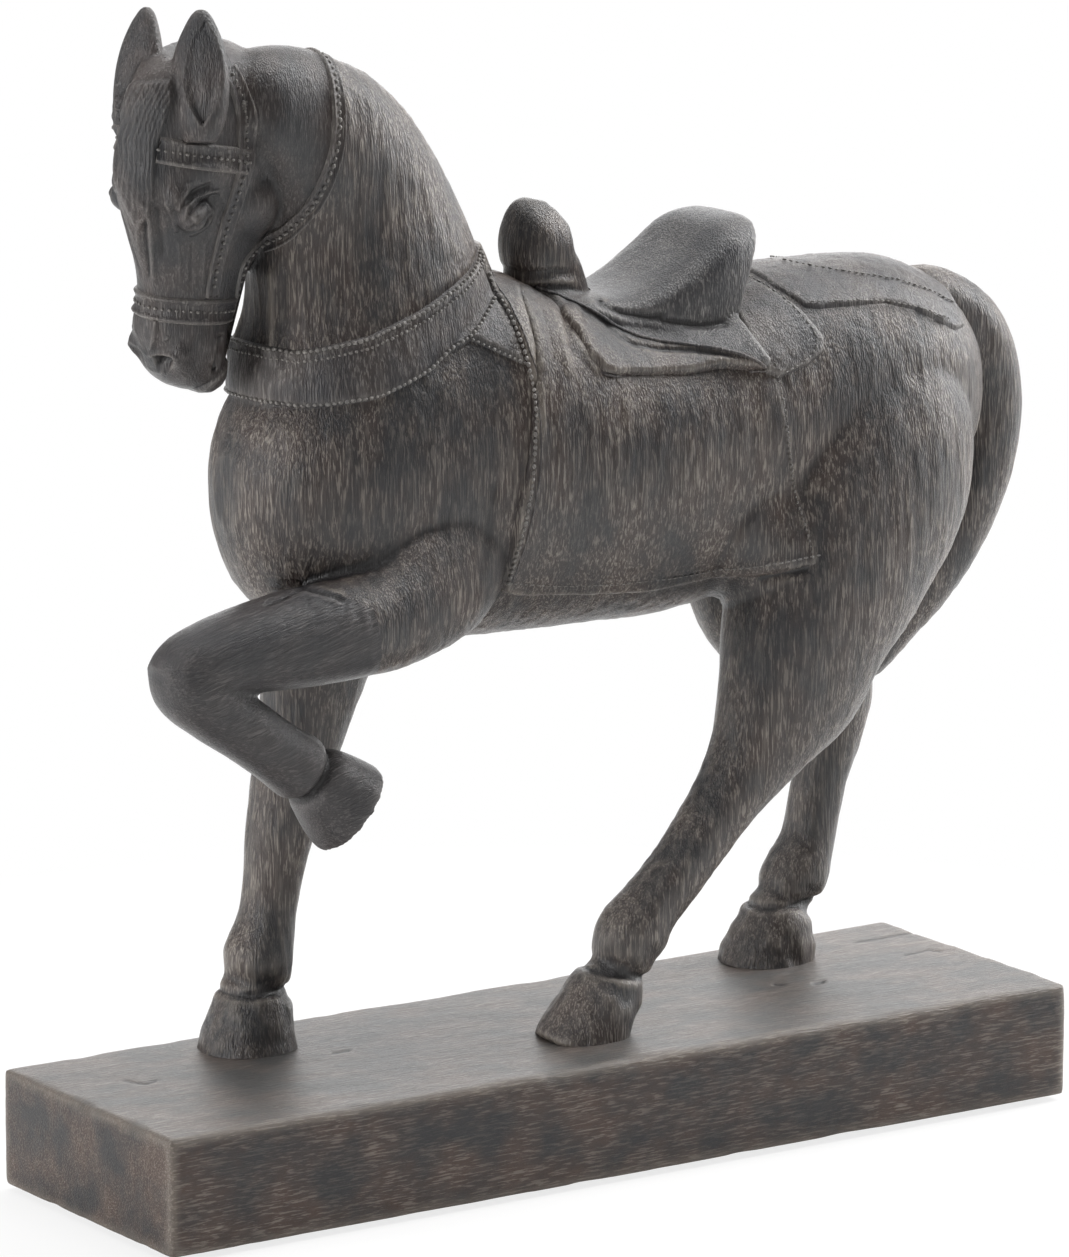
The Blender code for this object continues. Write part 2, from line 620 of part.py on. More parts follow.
def build_castings(horse, tail):
    regions = {
        "head": (HEAD_REGION, -FAR_SIDE, FAR_SIDE),
        "raised_foreleg": (RAISED_LEG_REGION, -FAR_SIDE, -5.0),
        "standing_foreleg": (STANDING_LEG_REGION, 6.0, FAR_SIDE),
        "left_hind_leg": (LEFT_HIND_REGION, -FAR_SIDE, CENTRE_Y - GLUE_LINE / 2),
        "right_hind_leg": (RIGHT_HIND_REGION, CENTRE_Y + GLUE_LINE / 2, FAR_SIDE),
    }
    sockets = {
        name: rod(name, placed(middle), direction, half + PIN_CLEARANCE, DOWEL_RADIUS + PIN_CLEARANCE)
        for name, (middle, direction, half) in DOWELS.items()
    }
    hole_height = PIN_HEIGHT_IN_HOOF + PIN_CLEARANCE
    pin_holes = {
        name: rod(name, placed((*place, 0.0)), (0.0, 0.0, 1.0), hole_height, PIN_RADIUS + PIN_CLEARANCE)
        for name, place in PINS.items()
    }
    holes = {
        "head": [sockets["head_dowel"]],
        "raised_foreleg": [sockets["raised_leg_dowel"]],
        "standing_foreleg": [sockets["standing_leg_dowel"], pin_holes["standing_leg_pin"]],
        "left_hind_leg": [sockets["left_hind_dowel"], pin_holes["left_hind_pin"]],
        "right_hind_leg": [sockets["right_hind_dowel"], pin_holes["right_hind_pin"]],
    }
    body = horse
    for name, (outline, low_y, high_y) in regions.items():
        piece = within(horse, prism(name, outline, low_y, high_y))
        finish(name, largest(less(piece, *holes[name])), RESIN)
        body = less(body, prism(name, outline, low_y, high_y, grow=GLUE_LINE))
    finish("body", largest(less(body, *sockets.values())), RESIN)
    tail_piece = less(tail, swollen(horse, GLUE_LINE), sockets["tail_dowel"])
    finish("tail", largest(tail_piece), RESIN)
    for name, (root, turn) in EARS.items():
        form = ear_shape(name, EAR, root, turn, 16)
        hollow = ear_shape("hollow", EAR_HOLLOW, root, turn, 12)
        finish(name, largest(less(form, hollow, swollen(horse, GLUE_LINE))), RESIN)


def build_harness(horse, tail):
    blanket_low = TACK_CLEARANCE
    blanket_high = blanket_low + BLANKET_THICKNESS
    skirt_low = blanket_high + TACK_CLEARANCE
    skirt_high = skirt_low + SKIRT_THICKNESS
    strap_high = TACK_CLEARANCE + STRAP_THICKNESS
    flap_high = TACK_CLEARANCE + REAR_FLAP_THICKNESS
    over_blanket = swollen(horse, skirt_low)
    pommel = loft("pommel", POMMEL, sides=18, steps=2)
    seat = loft("seat", SEAT, sides=20, steps=2, squareness=3.0, facing=(1.0, 0.0, 0.0))
    round_pommel = swollen(pommel, TACK_CLEARANCE)
    round_seat = swollen(seat, TACK_CLEARANCE)
    finish("saddle_pommel", largest(less(pommel, over_blanket)), SADDLE)
    finish("saddle_seat", largest(less(seat, over_blanket, round_pommel)), SADDLE)
    for side, low_y, high_y in (
        ("left", -FAR_SIDE, CENTRE_Y - 9.0),
        ("right", CENTRE_Y + 9.0, FAR_SIDE),
    ):
        skirt = shell(horse, skirt_low, skirt_high, prism("skirt", SKIRT_OUTLINE, low_y, high_y))
        finish(side + "_skirt", largest(less(skirt, round_seat, round_pommel)), SADDLE)
        flap = shell(horse, TACK_CLEARANCE, flap_high, prism("flap", REAR_FLAP_OUTLINE, low_y, high_y))
        finish(side + "_rear_flap", largest(less(flap, round_seat)), HARNESS)
    plain = {
        "saddle_blanket": (BLANKET_OUTLINE, blanket_high),
        "breast_collar": (COLLAR_OUTLINE, strap_high),
        "neck_strap": (NECK_STRAP_OUTLINE, strap_high),
    }
    for name, (outline, high) in plain.items():
        layer = shell(horse, TACK_CLEARANCE, high, prism(name, outline, -FAR_SIDE, FAR_SIDE))
        finish(name, largest(layer), HARNESS)
    crupper = shell(horse, TACK_CLEARANCE, strap_high, prism("crupper", CRUPPER_OUTLINE, -FAR_SIDE, FAR_SIDE))
    finish("crupper", largest(less(crupper, round_seat, swollen(tail, TACK_CLEARANCE))), HARNESS)
    round_ears = [
        swollen(ear_shape(name, EAR, root, turn, 16), TACK_CLEARANCE) for name, (root, turn) in EARS.items()
    ]
    for name, outline, low_y, high_y in (
        ("noseband", NOSEBAND_OUTLINE, -FAR_SIDE, FAR_SIDE),
        ("browband", BROWBAND_OUTLINE, -FAR_SIDE, FAR_SIDE),
        ("left_cheek_strap", CHEEK_STRAP_OUTLINE, -FAR_SIDE, 0.0),
        ("right_cheek_strap", CHEEK_STRAP_OUTLINE, 0.0, FAR_SIDE),
    ):
        layer = shell(horse, TACK_CLEARANCE, strap_high, head_prism(outline, low_y, high_y))
        finish(name, largest(less(layer, *round_ears)), HARNESS)


def build_block():
    mesh = bmesh.new()
    size = (BASE_LENGTH * MM, BASE_WIDTH * MM, BASE_HEIGHT * MM)
    middle = Matrix.Translation((0.0, 0.0, -BASE_HEIGHT * MM / 2))
    bmesh.ops.create_cube(mesh, size=1.0, matrix=middle @ Matrix.Diagonal((*size, 1.0)))
    obj = link("block", mesh_from("block", mesh))
    edge = obj.modifiers.new("soft_edges", "BEVEL")
    edge.width = BASE_EDGE_RADIUS * MM
    edge.segments = 3
    block = evaluated_mesh(obj)
    tools = []
    pad_top = PAD_SEAT_DEPTH - GLUE_LINE
    corners = [
        ("left_front_pad", -1, -1), ("right_front_pad", -1, 1), ("left_rear_pad", 1, -1), ("right_rear_pad", 1, 1),
    ]
    for name, end, side in corners:
        x = end * (BASE_LENGTH / 2 - PAD_INSET)
        y = side * (BASE_WIDTH / 2 - PAD_INSET)
        middle_z = -BASE_HEIGHT + (pad_top - PAD_HEIGHT) / 2
        pad = rod(name, (x, y, middle_z), (0.0, 0.0, 1.0), (pad_top + PAD_HEIGHT) / 2, PAD_RADIUS, sides=24)
        finish(name, pad, BUMPER)
        tools.append(
            rod(name, (x, y, -BASE_HEIGHT), (0.0, 0.0, 1.0), PAD_SEAT_DEPTH, PAD_RADIUS + GLUE_LINE, sides=24)
        )
    pin_length = PIN_DEPTH_IN_BASE + PIN_HEIGHT_IN_HOOF
    pin_middle = PIN_HEIGHT_IN_HOOF - pin_length / 2
    hole_depth = PIN_DEPTH_IN_BASE + PIN_CLEARANCE
    for name, place in PINS.items():
        x, y = placed(place)
        pin = rod(name, (x, y, pin_middle), (0.0, 0.0, 1.0), pin_length / 2, PIN_RADIUS)
        finish(name, pin, STEEL)
        tools.append(rod(name, (x, y, 0.0), (0.0, 0.0, 1.0), hole_depth, PIN_RADIUS + PIN_CLEARANCE))
    finish("block", largest(less(block, *tools)), BLOCK)


def main():
    for obj in list(bpy.data.objects):
        bpy.data.objects.remove(obj)
    horse = horse_skin()
    tail = loft("tail", TAIL, sides=18, steps=2)
    build_castings(horse, tail)
    build_harness(horse, tail)
    build_block()
    for name, (middle, direction, half) in DOWELS.items():
        finish(name, rod(name, placed(middle), direction, half, DOWEL_RADIUS), STEEL)


main()
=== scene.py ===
"""Looks of the walking horse statue: cast resin, stained and dry brushed to look like carved dark wood.

The horse, its head and its saddle are each sculpted as one skin over rounded shapes, brushed with creases,
ridges and chisel strokes, and then divided into the named castings. The harness is laid over that skin.
Until a mesh is made, lengths are in millimetres and heights are measured from the top of the block.
"""

import math

import bpy
import numpy as np
from mathutils import Matrix, Vector
from mathutils.bvhtree import BVHTree


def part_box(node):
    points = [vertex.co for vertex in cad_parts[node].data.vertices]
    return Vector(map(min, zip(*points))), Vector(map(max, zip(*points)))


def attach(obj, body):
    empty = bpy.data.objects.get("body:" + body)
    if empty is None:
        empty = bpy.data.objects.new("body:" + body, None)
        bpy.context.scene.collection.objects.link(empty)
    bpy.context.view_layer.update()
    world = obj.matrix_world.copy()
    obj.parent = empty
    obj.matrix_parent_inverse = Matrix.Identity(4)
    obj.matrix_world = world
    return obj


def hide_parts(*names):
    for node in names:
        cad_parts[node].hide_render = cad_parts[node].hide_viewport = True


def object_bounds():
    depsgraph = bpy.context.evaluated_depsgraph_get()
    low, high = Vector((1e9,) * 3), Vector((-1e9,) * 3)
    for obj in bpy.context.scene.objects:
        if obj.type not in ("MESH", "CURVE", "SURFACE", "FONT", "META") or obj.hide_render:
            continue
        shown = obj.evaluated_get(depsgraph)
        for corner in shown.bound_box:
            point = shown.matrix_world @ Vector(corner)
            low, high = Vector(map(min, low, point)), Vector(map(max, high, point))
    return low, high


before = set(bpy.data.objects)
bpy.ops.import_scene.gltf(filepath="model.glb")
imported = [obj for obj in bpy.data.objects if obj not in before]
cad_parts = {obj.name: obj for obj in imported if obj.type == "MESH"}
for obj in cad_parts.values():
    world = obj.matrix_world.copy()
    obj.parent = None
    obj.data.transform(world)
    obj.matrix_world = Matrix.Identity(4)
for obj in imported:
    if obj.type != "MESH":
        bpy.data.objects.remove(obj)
CAD_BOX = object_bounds()

MM = 0.001
PHOTO_WIDTH, PHOTO_HEIGHT = 1069.0, 1257.0
BLOCK_LOW, BLOCK_HIGH = (np.array(corner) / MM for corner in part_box("block"))
BLOCK_TOP = BLOCK_HIGH[2]
CENTRE_Y = 6.0

# How finely each skin is sculpted, and the rounds of softening that round its joins
HORSE_GRAIN, HORSE_SOFTENING = 0.85, 12
HEAD_GRAIN, HEAD_SOFTENING, EAR_SOFTENING = 0.46, 50, 16
SADDLE_GRAIN, SADDLE_SOFTENING = 0.62, 7
BLOCK_GRAIN, BLOCK_SOFTENING = 1.05, 10

# Rings of the horse: centre x, y and z, half width, and how far the ring reaches to either side of its centre
TRUNK = [
    (-100.4, 6.0, 164.0, 7.0, 9.0, 11.0),
    (-96.6, 6.0, 163.5, 15.5, 19.5, 23.0),
    (-89.5, 6.0, 163.5, 22.5, 30.5, 34.0),
    (-75.0, 6.0, 164.0, 27.5, 42.0, 42.0),
    (-57.0, 6.0, 164.0, 30.0, 49.0, 47.0),
    (-36.0, 6.0, 165.0, 31.0, 52.0, 50.0),
    (-15.0, 6.0, 165.0, 31.0, 50.0, 50.5),
    (10.0, 6.0, 163.0, 32.0, 40.0, 49.0),
    (35.0, 6.0, 163.0, 32.5, 37.0, 49.0),
    (58.0, 6.0, 165.0, 32.5, 39.6, 47.5),
    (78.0, 6.0, 167.0, 31.5, 41.8, 43.0),
    (98.0, 6.0, 169.0, 30.5, 40.0, 40.0),
    (117.0, 6.0, 171.0, 27.5, 36.6, 37.0),
    (133.0, 6.0, 172.0, 22.5, 29.0, 32.0),
    (144.5, 6.0, 170.0, 15.0, 20.0, 23.0),
    (150.5, 6.0, 167.5, 6.0, 9.0, 10.0),
]
# The neck ends inside the trunk; the head's own skin takes in its first rings, down to HEAD_NECK_RINGS
HEAD_NECK_RINGS = 9
NECK = [
    (-104.0, -3.0, 269.0, 8.0, 12.6, 8.0),
    (-97.0, -2.0, 268.0, 11.5, 17.8, 13.0),
    (-88.0, -1.0, 264.5, 13.0, 21.2, 17.0),
    (-80.0, 0.0, 259.5, 13.7, 23.6, 20.0),
    (-73.0, 1.0, 253.5, 14.5, 26.2, 24.0),
    (-67.0, 2.5, 245.0, 15.5, 28.6, 28.0),
    (-62.0, 4.0, 234.0, 17.2, 31.6, 31.5),
    (-58.0, 5.0, 220.0, 20.0, 35.0, 34.0),
    (-56.0, 6.0, 205.0, 23.5, 40.0, 37.0),
    (-57.0, 6.0, 188.0, 26.0, 42.0, 38.0),
    (-60.0, 6.0, 168.0, 26.0, 34.0, 34.0),
]
LEFT_HIND_LEG = [
    (100.0, 2.0, 194.0, 14.0, 24.0, 24.0),
    (101.0, -4.0, 173.0, 20.0, 37.0, 35.0),
    (98.0, -8.5, 150.0, 21.0, 40.0, 38.0),
    (89.0, -12.0, 128.0, 19.5, 34.0, 34.5),
    (79.0, -14.5, 108.0, 17.0, 27.0, 27.4),
    (71.0, -16.0, 90.0, 14.0, 22.5, 22.2),
    (62.5, -16.5, 75.5, 11.5, 13.0, 17.0),
    (52.5, -16.5, 64.0, 9.6, 9.4, 11.6),
    (42.5, -16.5, 54.0, 8.6, 9.2, 9.0),
    (32.5, -16.5, 43.5, 8.0, 9.2, 8.0),
    (24.5, -16.2, 35.0, 8.0, 9.2, 8.6),
    (18.8, -15.8, 27.5, 9.2, 10.0, 10.6),
    (15.8, -15.3, 21.5, 8.5, 8.8, 9.2),
    (14.0, -15.1, 17.8, 7.6, 7.6, 7.4),
    (12.4, -15.0, 14.8, 9.4, 9.6, 9.6),
    (7.6, -15.0, 8.0, 11.0, 10.8, 11.4),
    (3.0, -15.0, 0.0, 12.0, 11.6, 12.4),
    (0.0, -15.0, -5.0, 12.6, 12.0, 13.0),
]
RIGHT_HIND_LEG = [
    (98.0, 12.0, 194.0, 14.0, 22.0, 24.0),
    (98.0, 19.0, 173.0, 18.0, 34.0, 34.0),
    (98.0, 23.0, 150.0, 19.0, 34.0, 37.0),
    (98.0, 24.0, 128.0, 18.0, 29.0, 34.0),
    (101.0, 25.0, 109.0, 15.5, 23.0, 30.0),
    (109.0, 26.0, 92.5, 12.5, 16.0, 20.0),
    (117.5, 26.0, 80.0, 10.5, 12.5, 12.5),
    (118.5, 26.5, 68.5, 9.0, 9.5, 9.0),
    (115.0, 27.0, 55.0, 8.0, 8.0, 8.0),
    (112.0, 27.0, 43.0, 7.6, 7.6, 7.6),
    (109.5, 27.0, 34.0, 8.0, 8.2, 7.0),
    (106.0, 27.0, 26.5, 9.4, 9.8, 8.2),
    (103.0, 27.0, 20.5, 8.8, 8.6, 8.6),
    (101.5, 27.0, 17.2, 7.6, 7.4, 7.4),
    (100.0, 27.0, 14.6, 9.6, 9.2, 9.6),
    (98.0, 27.0, 7.5, 11.6, 12.2, 12.4),
    (96.0, 27.0, 0.0, 12.8, 13.2, 14.0),
    (95.0, 27.0, -5.0, 13.4, 12.6, 14.6),
]
RIGHT_FORELEG = [
    (-60.0, 18.0, 158.0, 14.0, 26.0, 26.0),
    (-59.0, 21.0, 134.0, 14.0, 23.0, 23.0),
    (-59.0, 24.0, 115.0, 12.5, 18.0, 18.0),
    (-61.5, 26.0, 99.0, 11.0, 14.5, 14.5),
    (-65.0, 27.0, 84.0, 10.5, 12.0, 12.0),
    (-68.0, 27.0, 70.0, 10.0, 10.0, 11.2),
    (-71.0, 27.0, 57.0, 8.8, 8.6, 10.0),
    (-73.0, 27.0, 48.0, 8.0, 8.0, 8.8),
    (-75.0, 27.0, 39.0, 7.8, 7.8, 7.8),
    (-76.5, 27.0, 32.0, 8.6, 8.6, 8.6),
    (-78.0, 27.0, 25.5, 9.6, 9.3, 10.0),
    (-78.5, 27.0, 20.5, 9.0, 8.8, 9.0),
    (-79.0, 27.0, 17.6, 8.2, 8.0, 8.2),
    (-79.8, 27.0, 15.0, 10.0, 10.8, 10.0),
    (-81.0, 27.0, 8.0, 11.8, 12.4, 12.2),
    (-82.0, 27.0, 0.0, 13.2, 13.8, 14.0),
    (-82.6, 27.0, -5.0, 13.8, 13.2, 14.6),
]
RAISED_FOREARM = [
    (-38.0, -10.0, 150.0, 14.0, 20.0, 20.0),
    (-48.0, -14.0, 138.0, 14.0, 21.0, 20.0),
    (-63.0, -18.0, 129.0, 13.5, 15.0, 16.0),
    (-81.0, -20.0, 126.5, 12.8, 13.4, 14.4),
    (-99.0, -20.5, 126.0, 12.2, 13.0, 13.4),
    (-115.0, -21.0, 125.5, 11.4, 12.0, 11.0),
    (-129.0, -21.0, 122.5, 10.6, 11.0, 9.4),
    (-137.0, -21.0, 118.0, 7.0, 7.0, 7.0),
]
RAISED_CANNON = [
    (-132.0, -21.0, 125.6, 9.0, 8.0, 8.0),
    (-129.0, -21.0, 117.8, 10.4, 10.2, 10.4),
    (-120.5, -21.0, 109.0, 9.6, 9.8, 8.8),
    (-110.0, -21.0, 101.5, 9.0, 9.2, 8.4),
    (-100.5, -20.5, 95.0, 8.6, 8.8, 8.8),
    (-94.2, -20.0, 90.6, 9.1, 9.3, 9.4),
    (-91.0, -20.0, 88.4, 7.6, 7.6, 7.6),
    (-88.5, -20.0, 86.4, 9.8, 9.8, 10.0),
    (-83.0, -20.0, 82.2, 11.2, 11.4, 13.2),
    (-77.6, -20.0, 78.0, 12.4, 12.4, 15.0),
]
TAIL = [
    (116.0, 6.0, 192.0, 6.0, 6.0, 6.0),
    (130.0, 6.0, 195.0, 9.0, 9.0, 9.0),
    (141.0, 6.0, 191.0, 10.5, 10.5, 10.5),
    (150.3, 7.0, 182.5, 11.5, 11.5, 11.5),
    (155.4, 8.0, 170.0, 12.0, 12.0, 12.0),
    (156.2, 8.5, 155.0, 12.0, 12.0, 12.0),
    (152.9, 9.0, 139.0, 11.5, 11.5, 11.5),
    (146.9, 10.0, 124.0, 10.5, 10.5, 10.5),
    (139.2, 12.0, 111.0, 9.6, 9.6, 9.6),
    (131.2, 16.0, 99.0, 8.4, 8.4, 8.4),
    (125.0, 19.0, 89.0, 6.8, 6.8, 6.8),
    (121.0, 21.0, 82.0, 4.0, 4.0, 4.0),
]

# Balls that carry the skin smoothly from the belly over the left thigh: centre and radius
FLANK_FILL = [((50.0, -2.0, 149.0), 23.0), ((59.0, -4.5, 140.0), 22.5), ((67.0, -8.0, 134.0), 20.5)]

# The head is modelled facing -x with its brow line at x = 0, then turned about the top of the brow
HEAD_PLACE = (-139.0, -4.5, 283.0)
HEAD_TURN = 12.0
HEAD_ROLL = 6.0
HEAD_TUCK = 9.0
HEAD = [
    (25.0, 0.0, -1.0, 8.0, 12.0, 12.0),
    (24.8, 0.0, -4.0, 10.8, 17.2, 16.6),
    (25.8, 0.0, -10.0, 13.0, 22.2, 21.4),
    (28.2, 0.0, -18.0, 14.3, 25.8, 25.2),
    (28.3, 0.0, -25.0, 15.1, 27.7, 27.3),
    (28.1, 0.0, -31.0, 16.4, 28.9, 28.9),
    (28.5, 0.0, -38.0, 16.0, 28.5, 28.5),
    (27.7, 0.0, -45.0, 15.0, 26.3, 26.3),
    (25.5, 0.0, -52.0, 13.8, 25.4, 22.5),
    (22.6, 0.0, -60.0, 12.3, 21.8, 17.9),
    (19.3, 0.0, -68.0, 11.5, 18.4, 14.7),
    (16.8, 0.0, -75.0, 11.8, 16.0, 14.2),
    (16.6, 0.0, -80.0, 12.2, 12.8, 12.8),
    (17.2, 0.0, -86.0, 11.9, 10.8, 12.2),
    (18.9, 0.0, -91.5, 10.4, 7.9, 9.6),
    (20.6, 0.0, -95.0, 7.0, 5.0, 5.6),
]

# Rounded bulges on both sides of the head, in the head's own frame: x, distance off centre, z, radius
HEAD_BULGES = [
    (8.5, 9.5, -36.0, 4.2),
    (10.8, 13.2, -41.5, 4.4),
    (33.5, 3.5, -44.0, 14.0),
    (9.0, 7.2, -81.5, 4.2),
]

# An ear before it is hollowed, standing up from its root
EAR = [
    (0.0, 0.0, -1.0, 4.6, 3.6, 3.6),
    (0.0, 0.0, 3.0, 6.4, 4.6, 4.6),
    (0.0, 0.0, 9.0, 7.7, 4.8, 4.8),
    (0.3, 0.0, 16.0, 7.9, 4.4, 4.4),
    (0.9, 0.0, 23.0, 6.9, 3.6, 3.6),
    (1.6, 0.0, 29.0, 4.7, 2.6, 2.6),
    (2.1, 0.0, 32.6, 2.7, 1.7, 1.7),
    (2.3, 0.0, 34.2, 1.0, 0.8, 0.8),
]
# Each ear's root, the turn of its hollow in degrees, and how that lies: how far off centre, and how deep
EARS = {
    "left_ear": ((-118.6, -11.5, 263.6), 50.0, -1.4, 1.3),
    "right_ear": ((-127.0, 7.2, 263.0), 14.0, 0.6, 0.9),
}
EAR_TILT = 4.0
# An ear's hollow: heights with half its width there, and heights with the share of its depth there
EAR_HOLLOW_HALF = ((3.6, 7.0, 11.0, 16.0, 22.0, 27.0, 30.5), (0.1, 2.6, 4.8, 5.8, 5.0, 3.2, 0.3))
EAR_HOLLOW_DEPTH = ((4.0, 9.0, 15.0, 24.0, 30.0), (0.7, 1.0, 0.9, 0.55, 0.3))

# Saddle
POMMEL = [
    (0.5, 6.0, 234.6, 3.0, 3.0, 3.0),
    (0.0, 6.0, 232.5, 5.6, 6.4, 6.4),
    (-0.6, 6.0, 228.0, 8.6, 10.4, 7.8),
    (-0.6, 6.0, 222.5, 9.8, 11.6, 8.9),
    (0.4, 6.0, 217.0, 9.6, 11.8, 9.0),
    (1.6, 6.0, 212.0, 9.2, 13.4, 8.8),
    (2.4, 6.0, 205.0, 10.0, 14.6, 9.6),
    (2.4, 6.0, 196.0, 10.0, 14.6, 9.6),
]
SEAT = [
    (3.0, 6.0, 198.0, 14.0, 11.5, 10.0),
    (12.0, 6.0, 197.5, 17.0, 10.6, 12.0),
    (22.0, 6.0, 197.0, 18.5, 10.8, 12.0),
    (32.0, 6.0, 198.5, 20.0, 12.4, 12.0),
    (43.0, 6.0, 202.0, 21.0, 15.4, 13.0),
    (53.0, 6.0, 205.0, 21.0, 19.6, 14.0),
    (61.0, 6.0, 207.5, 19.4, 18.9, 14.0),
    (66.8, 6.0, 211.0, 16.6, 14.2, 9.0),
    (70.4, 6.0, 214.5, 13.0, 9.0, 5.0),
]

# The cantle's back is cut flat through this side view point, and leans by this share of its height
CANTLE_BACK = (65.5, 226.0)
CANTLE_LEAN = 0.38

# Side view outlines of the harness: x and height. Each piece is a layer cut out along its outline.
SADDLE_OUTLINE = [
    (-3.0, 240.0), (-2.5, 203.0), (0.0, 193.0), (5.0, 187.5), (19.0, 186.0), (33.0, 185.0), (45.0, 186.0),
    (57.0, 184.5), (61.0, 186.0), (58.0, 192.0), (55.0, 202.0), (52.0, 240.0),
]
BLANKET_OUTLINE = [
    (-26.0, 226.0), (-25.0, 217.0), (-22.0, 208.0), (-20.5, 196.0), (-20.0, 187.0), (-21.0, 178.0),
    (-23.0, 165.0), (-26.0, 155.0), (-28.0, 135.0), (-27.0, 131.0), (-21.0, 129.0), (-2.0, 127.0),
    (21.0, 125.0), (45.0, 126.0), (60.0, 126.5), (72.0, 129.0), (72.8, 132.0), (71.0, 139.0), (69.3, 147.0),
    (66.2, 159.4), (63.4, 172.0), (61.6, 183.5), (54.5, 190.0), (54.5, 226.0),
]
REAR_FLAP_OUTLINE = [
    (55.3, 226.0), (55.3, 190.6), (57.5, 184.0), (62.0, 182.5), (73.0, 185.0), (79.0, 188.0),
    (80.0, 192.0), (76.0, 199.0), (70.0, 205.0), (65.5, 210.0), (65.5, 226.0),
]
CRUPPER_OUTLINE = [
    (71.6, 228.0), (71.6, 205.3), (77.5, 199.6), (81.0, 198.9), (95.0, 198.7),
    (105.0, 198.3), (115.0, 195.5), (123.0, 191.5), (130.0, 188.0), (136.0, 188.0), (136.0, 228.0),
]
COLLAR_OUTLINE = [
    (-112.0, 193.0), (-107.0, 190.0), (-87.0, 187.0), (-67.0, 189.0), (-51.0, 194.5), (-43.8, 199.0),
    (-36.0, 201.6), (-30.0, 198.5), (-20.6, 193.6), (-21.5, 205.0), (-24.5, 217.0), (-27.5, 222.5),
    (-35.0, 219.0), (-51.0, 212.0), (-69.0, 206.0), (-87.0, 203.0), (-96.5, 204.5), (-102.0, 201.0),
]

# The camera, fitted to the photograph: degrees round and up, mm, and pixels for one unit of slope
VIEW_TURN = -33.81
VIEW_RISE = 12.0
VIEW_DISTANCE = 2229.7
VIEW_CENTRE = (-3.75, 0.0, 147.74)
VIEW_SCALE = 8000.0

# Strokes of the face, on both sides alike: a path in the photograph's pixels, half width there, height in mm
FACE_STROKES = [
    ([(178, 230), (196, 214), (224, 198)], 15.0, -0.8),
    ([(191, 222), (200, 213), (211, 204)], 6.5, 1.5),
    ([(183, 224), (187, 208), (196, 198), (208, 193), (222, 190)], 2.1, 0.75),
    ([(187, 236), (197, 232), (207, 225), (213, 215)], 2.1, 0.75),
    ([(179, 212), (185, 200), (197, 190), (214, 184)], 2.6, -0.6),
    ([(189, 220), (192, 209), (201, 201), (213, 197)], 1.3, -0.5),
    ([(190, 230), (199, 227), (206, 219)], 1.3, -0.5),
    ([(163, 200), (168, 208), (173, 218), (176, 234)], 2.4, 0.6),
    ([(190, 180), (186, 194), (178, 214)], 2.6, 0.7),
    ([(156, 205), (160, 235), (163, 262)], 3.2, -0.6),
    ([(133, 193), (147, 207), (151, 237), (153, 270), (155, 287)], 3.0, 0.7),
    ([(147, 212), (145, 237), (148, 262), (149, 282)], 1.7, -0.6),
    ([(137, 225), (140, 270)], 1.8, 0.45),
    ([(178, 237), (180, 287)], 2.0, 0.3),
    ([(205, 238), (202, 290)], 1.8, 0.3),
    ([(192, 240), (190, 290)], 1.6, -0.3),
    ([(156, 318), (154, 336), (150, 352)], 3.0, 0.7),
    ([(155, 363), (163, 361), (172, 365)], 5.2, -2.1),
    ([(147, 356), (158, 354), (171, 356), (179, 363)], 2.2, 0.8),
    ([(153, 371), (165, 372)], 2.4, 0.4),
    ([(222, 333), (221, 345), (218, 360), (214, 376)], 2.9, -1.3),
    ([(217, 335), (215, 350), (210, 366)], 2.4, 0.4),
    ([(228, 334), (227, 362)], 1.4, 0.35),
    ([(166, 337), (168, 340)], 3.0, 0.5),
]
# The forelock: its outline, the line that its locks run beside, and their width, all in pixels
FORELOCK = [
    (172, 78), (176, 96), (168, 124), (160, 146), (157, 178), (156, 200), (150, 222), (138, 236), (126, 214),
    (112, 180), (106, 140), (112, 100), (130, 80),
]
FORELOCK_LINE = [(166, 80), (150, 112), (141, 140), (139, 180), (141, 236)]
FORELOCK_PITCH = 4.4
# The browband ends at this pixel, beside the forelock
BROWBAND_END = 157.0
# How strongly the strokes of the seen side are repeated on the unseen side of the face
FAR_FACE = 0.35

# Strokes of the trunk on both sides alike, of the left side alone, of the saddle, and of the block's top
TRUNK_STROKES = [
    ([(546, 310), (556, 326), (564, 358), (567, 380)], 2.6, 0.6),
    ([(566, 306), (573, 338), (585, 360), (597, 376)], 2.8, 0.6),
    ([(556, 306), (565, 336), (574, 366)], 2.6, -0.5),
    ([(536, 306), (546, 330), (554, 368)], 2.4, -0.4),
    ([(514, 282), (522, 304), (529, 326), (533, 344), (535, 372), (535, 416), (533, 470)], 2.0, -0.9),
    ([(752, 582), (784, 573), (814, 568)], 4.0, -0.8),
    ([(498, 470), (491, 520), (486, 560), (476, 604)], 7.0, -0.6),
    ([(270, 262), (271, 310), (273, 372)], 5.0, 0.8),
    ([(286, 262), (286, 310), (286, 372)], 8.0, -0.5),
]
LEFT_STROKES = [
    ([(258, 607), (288, 595), (304, 588), (328, 594), (352, 603)], 2.6, -1.0),
    ([(284, 599), (304, 592), (326, 598), (346, 605)], 2.2, 0.5),
]
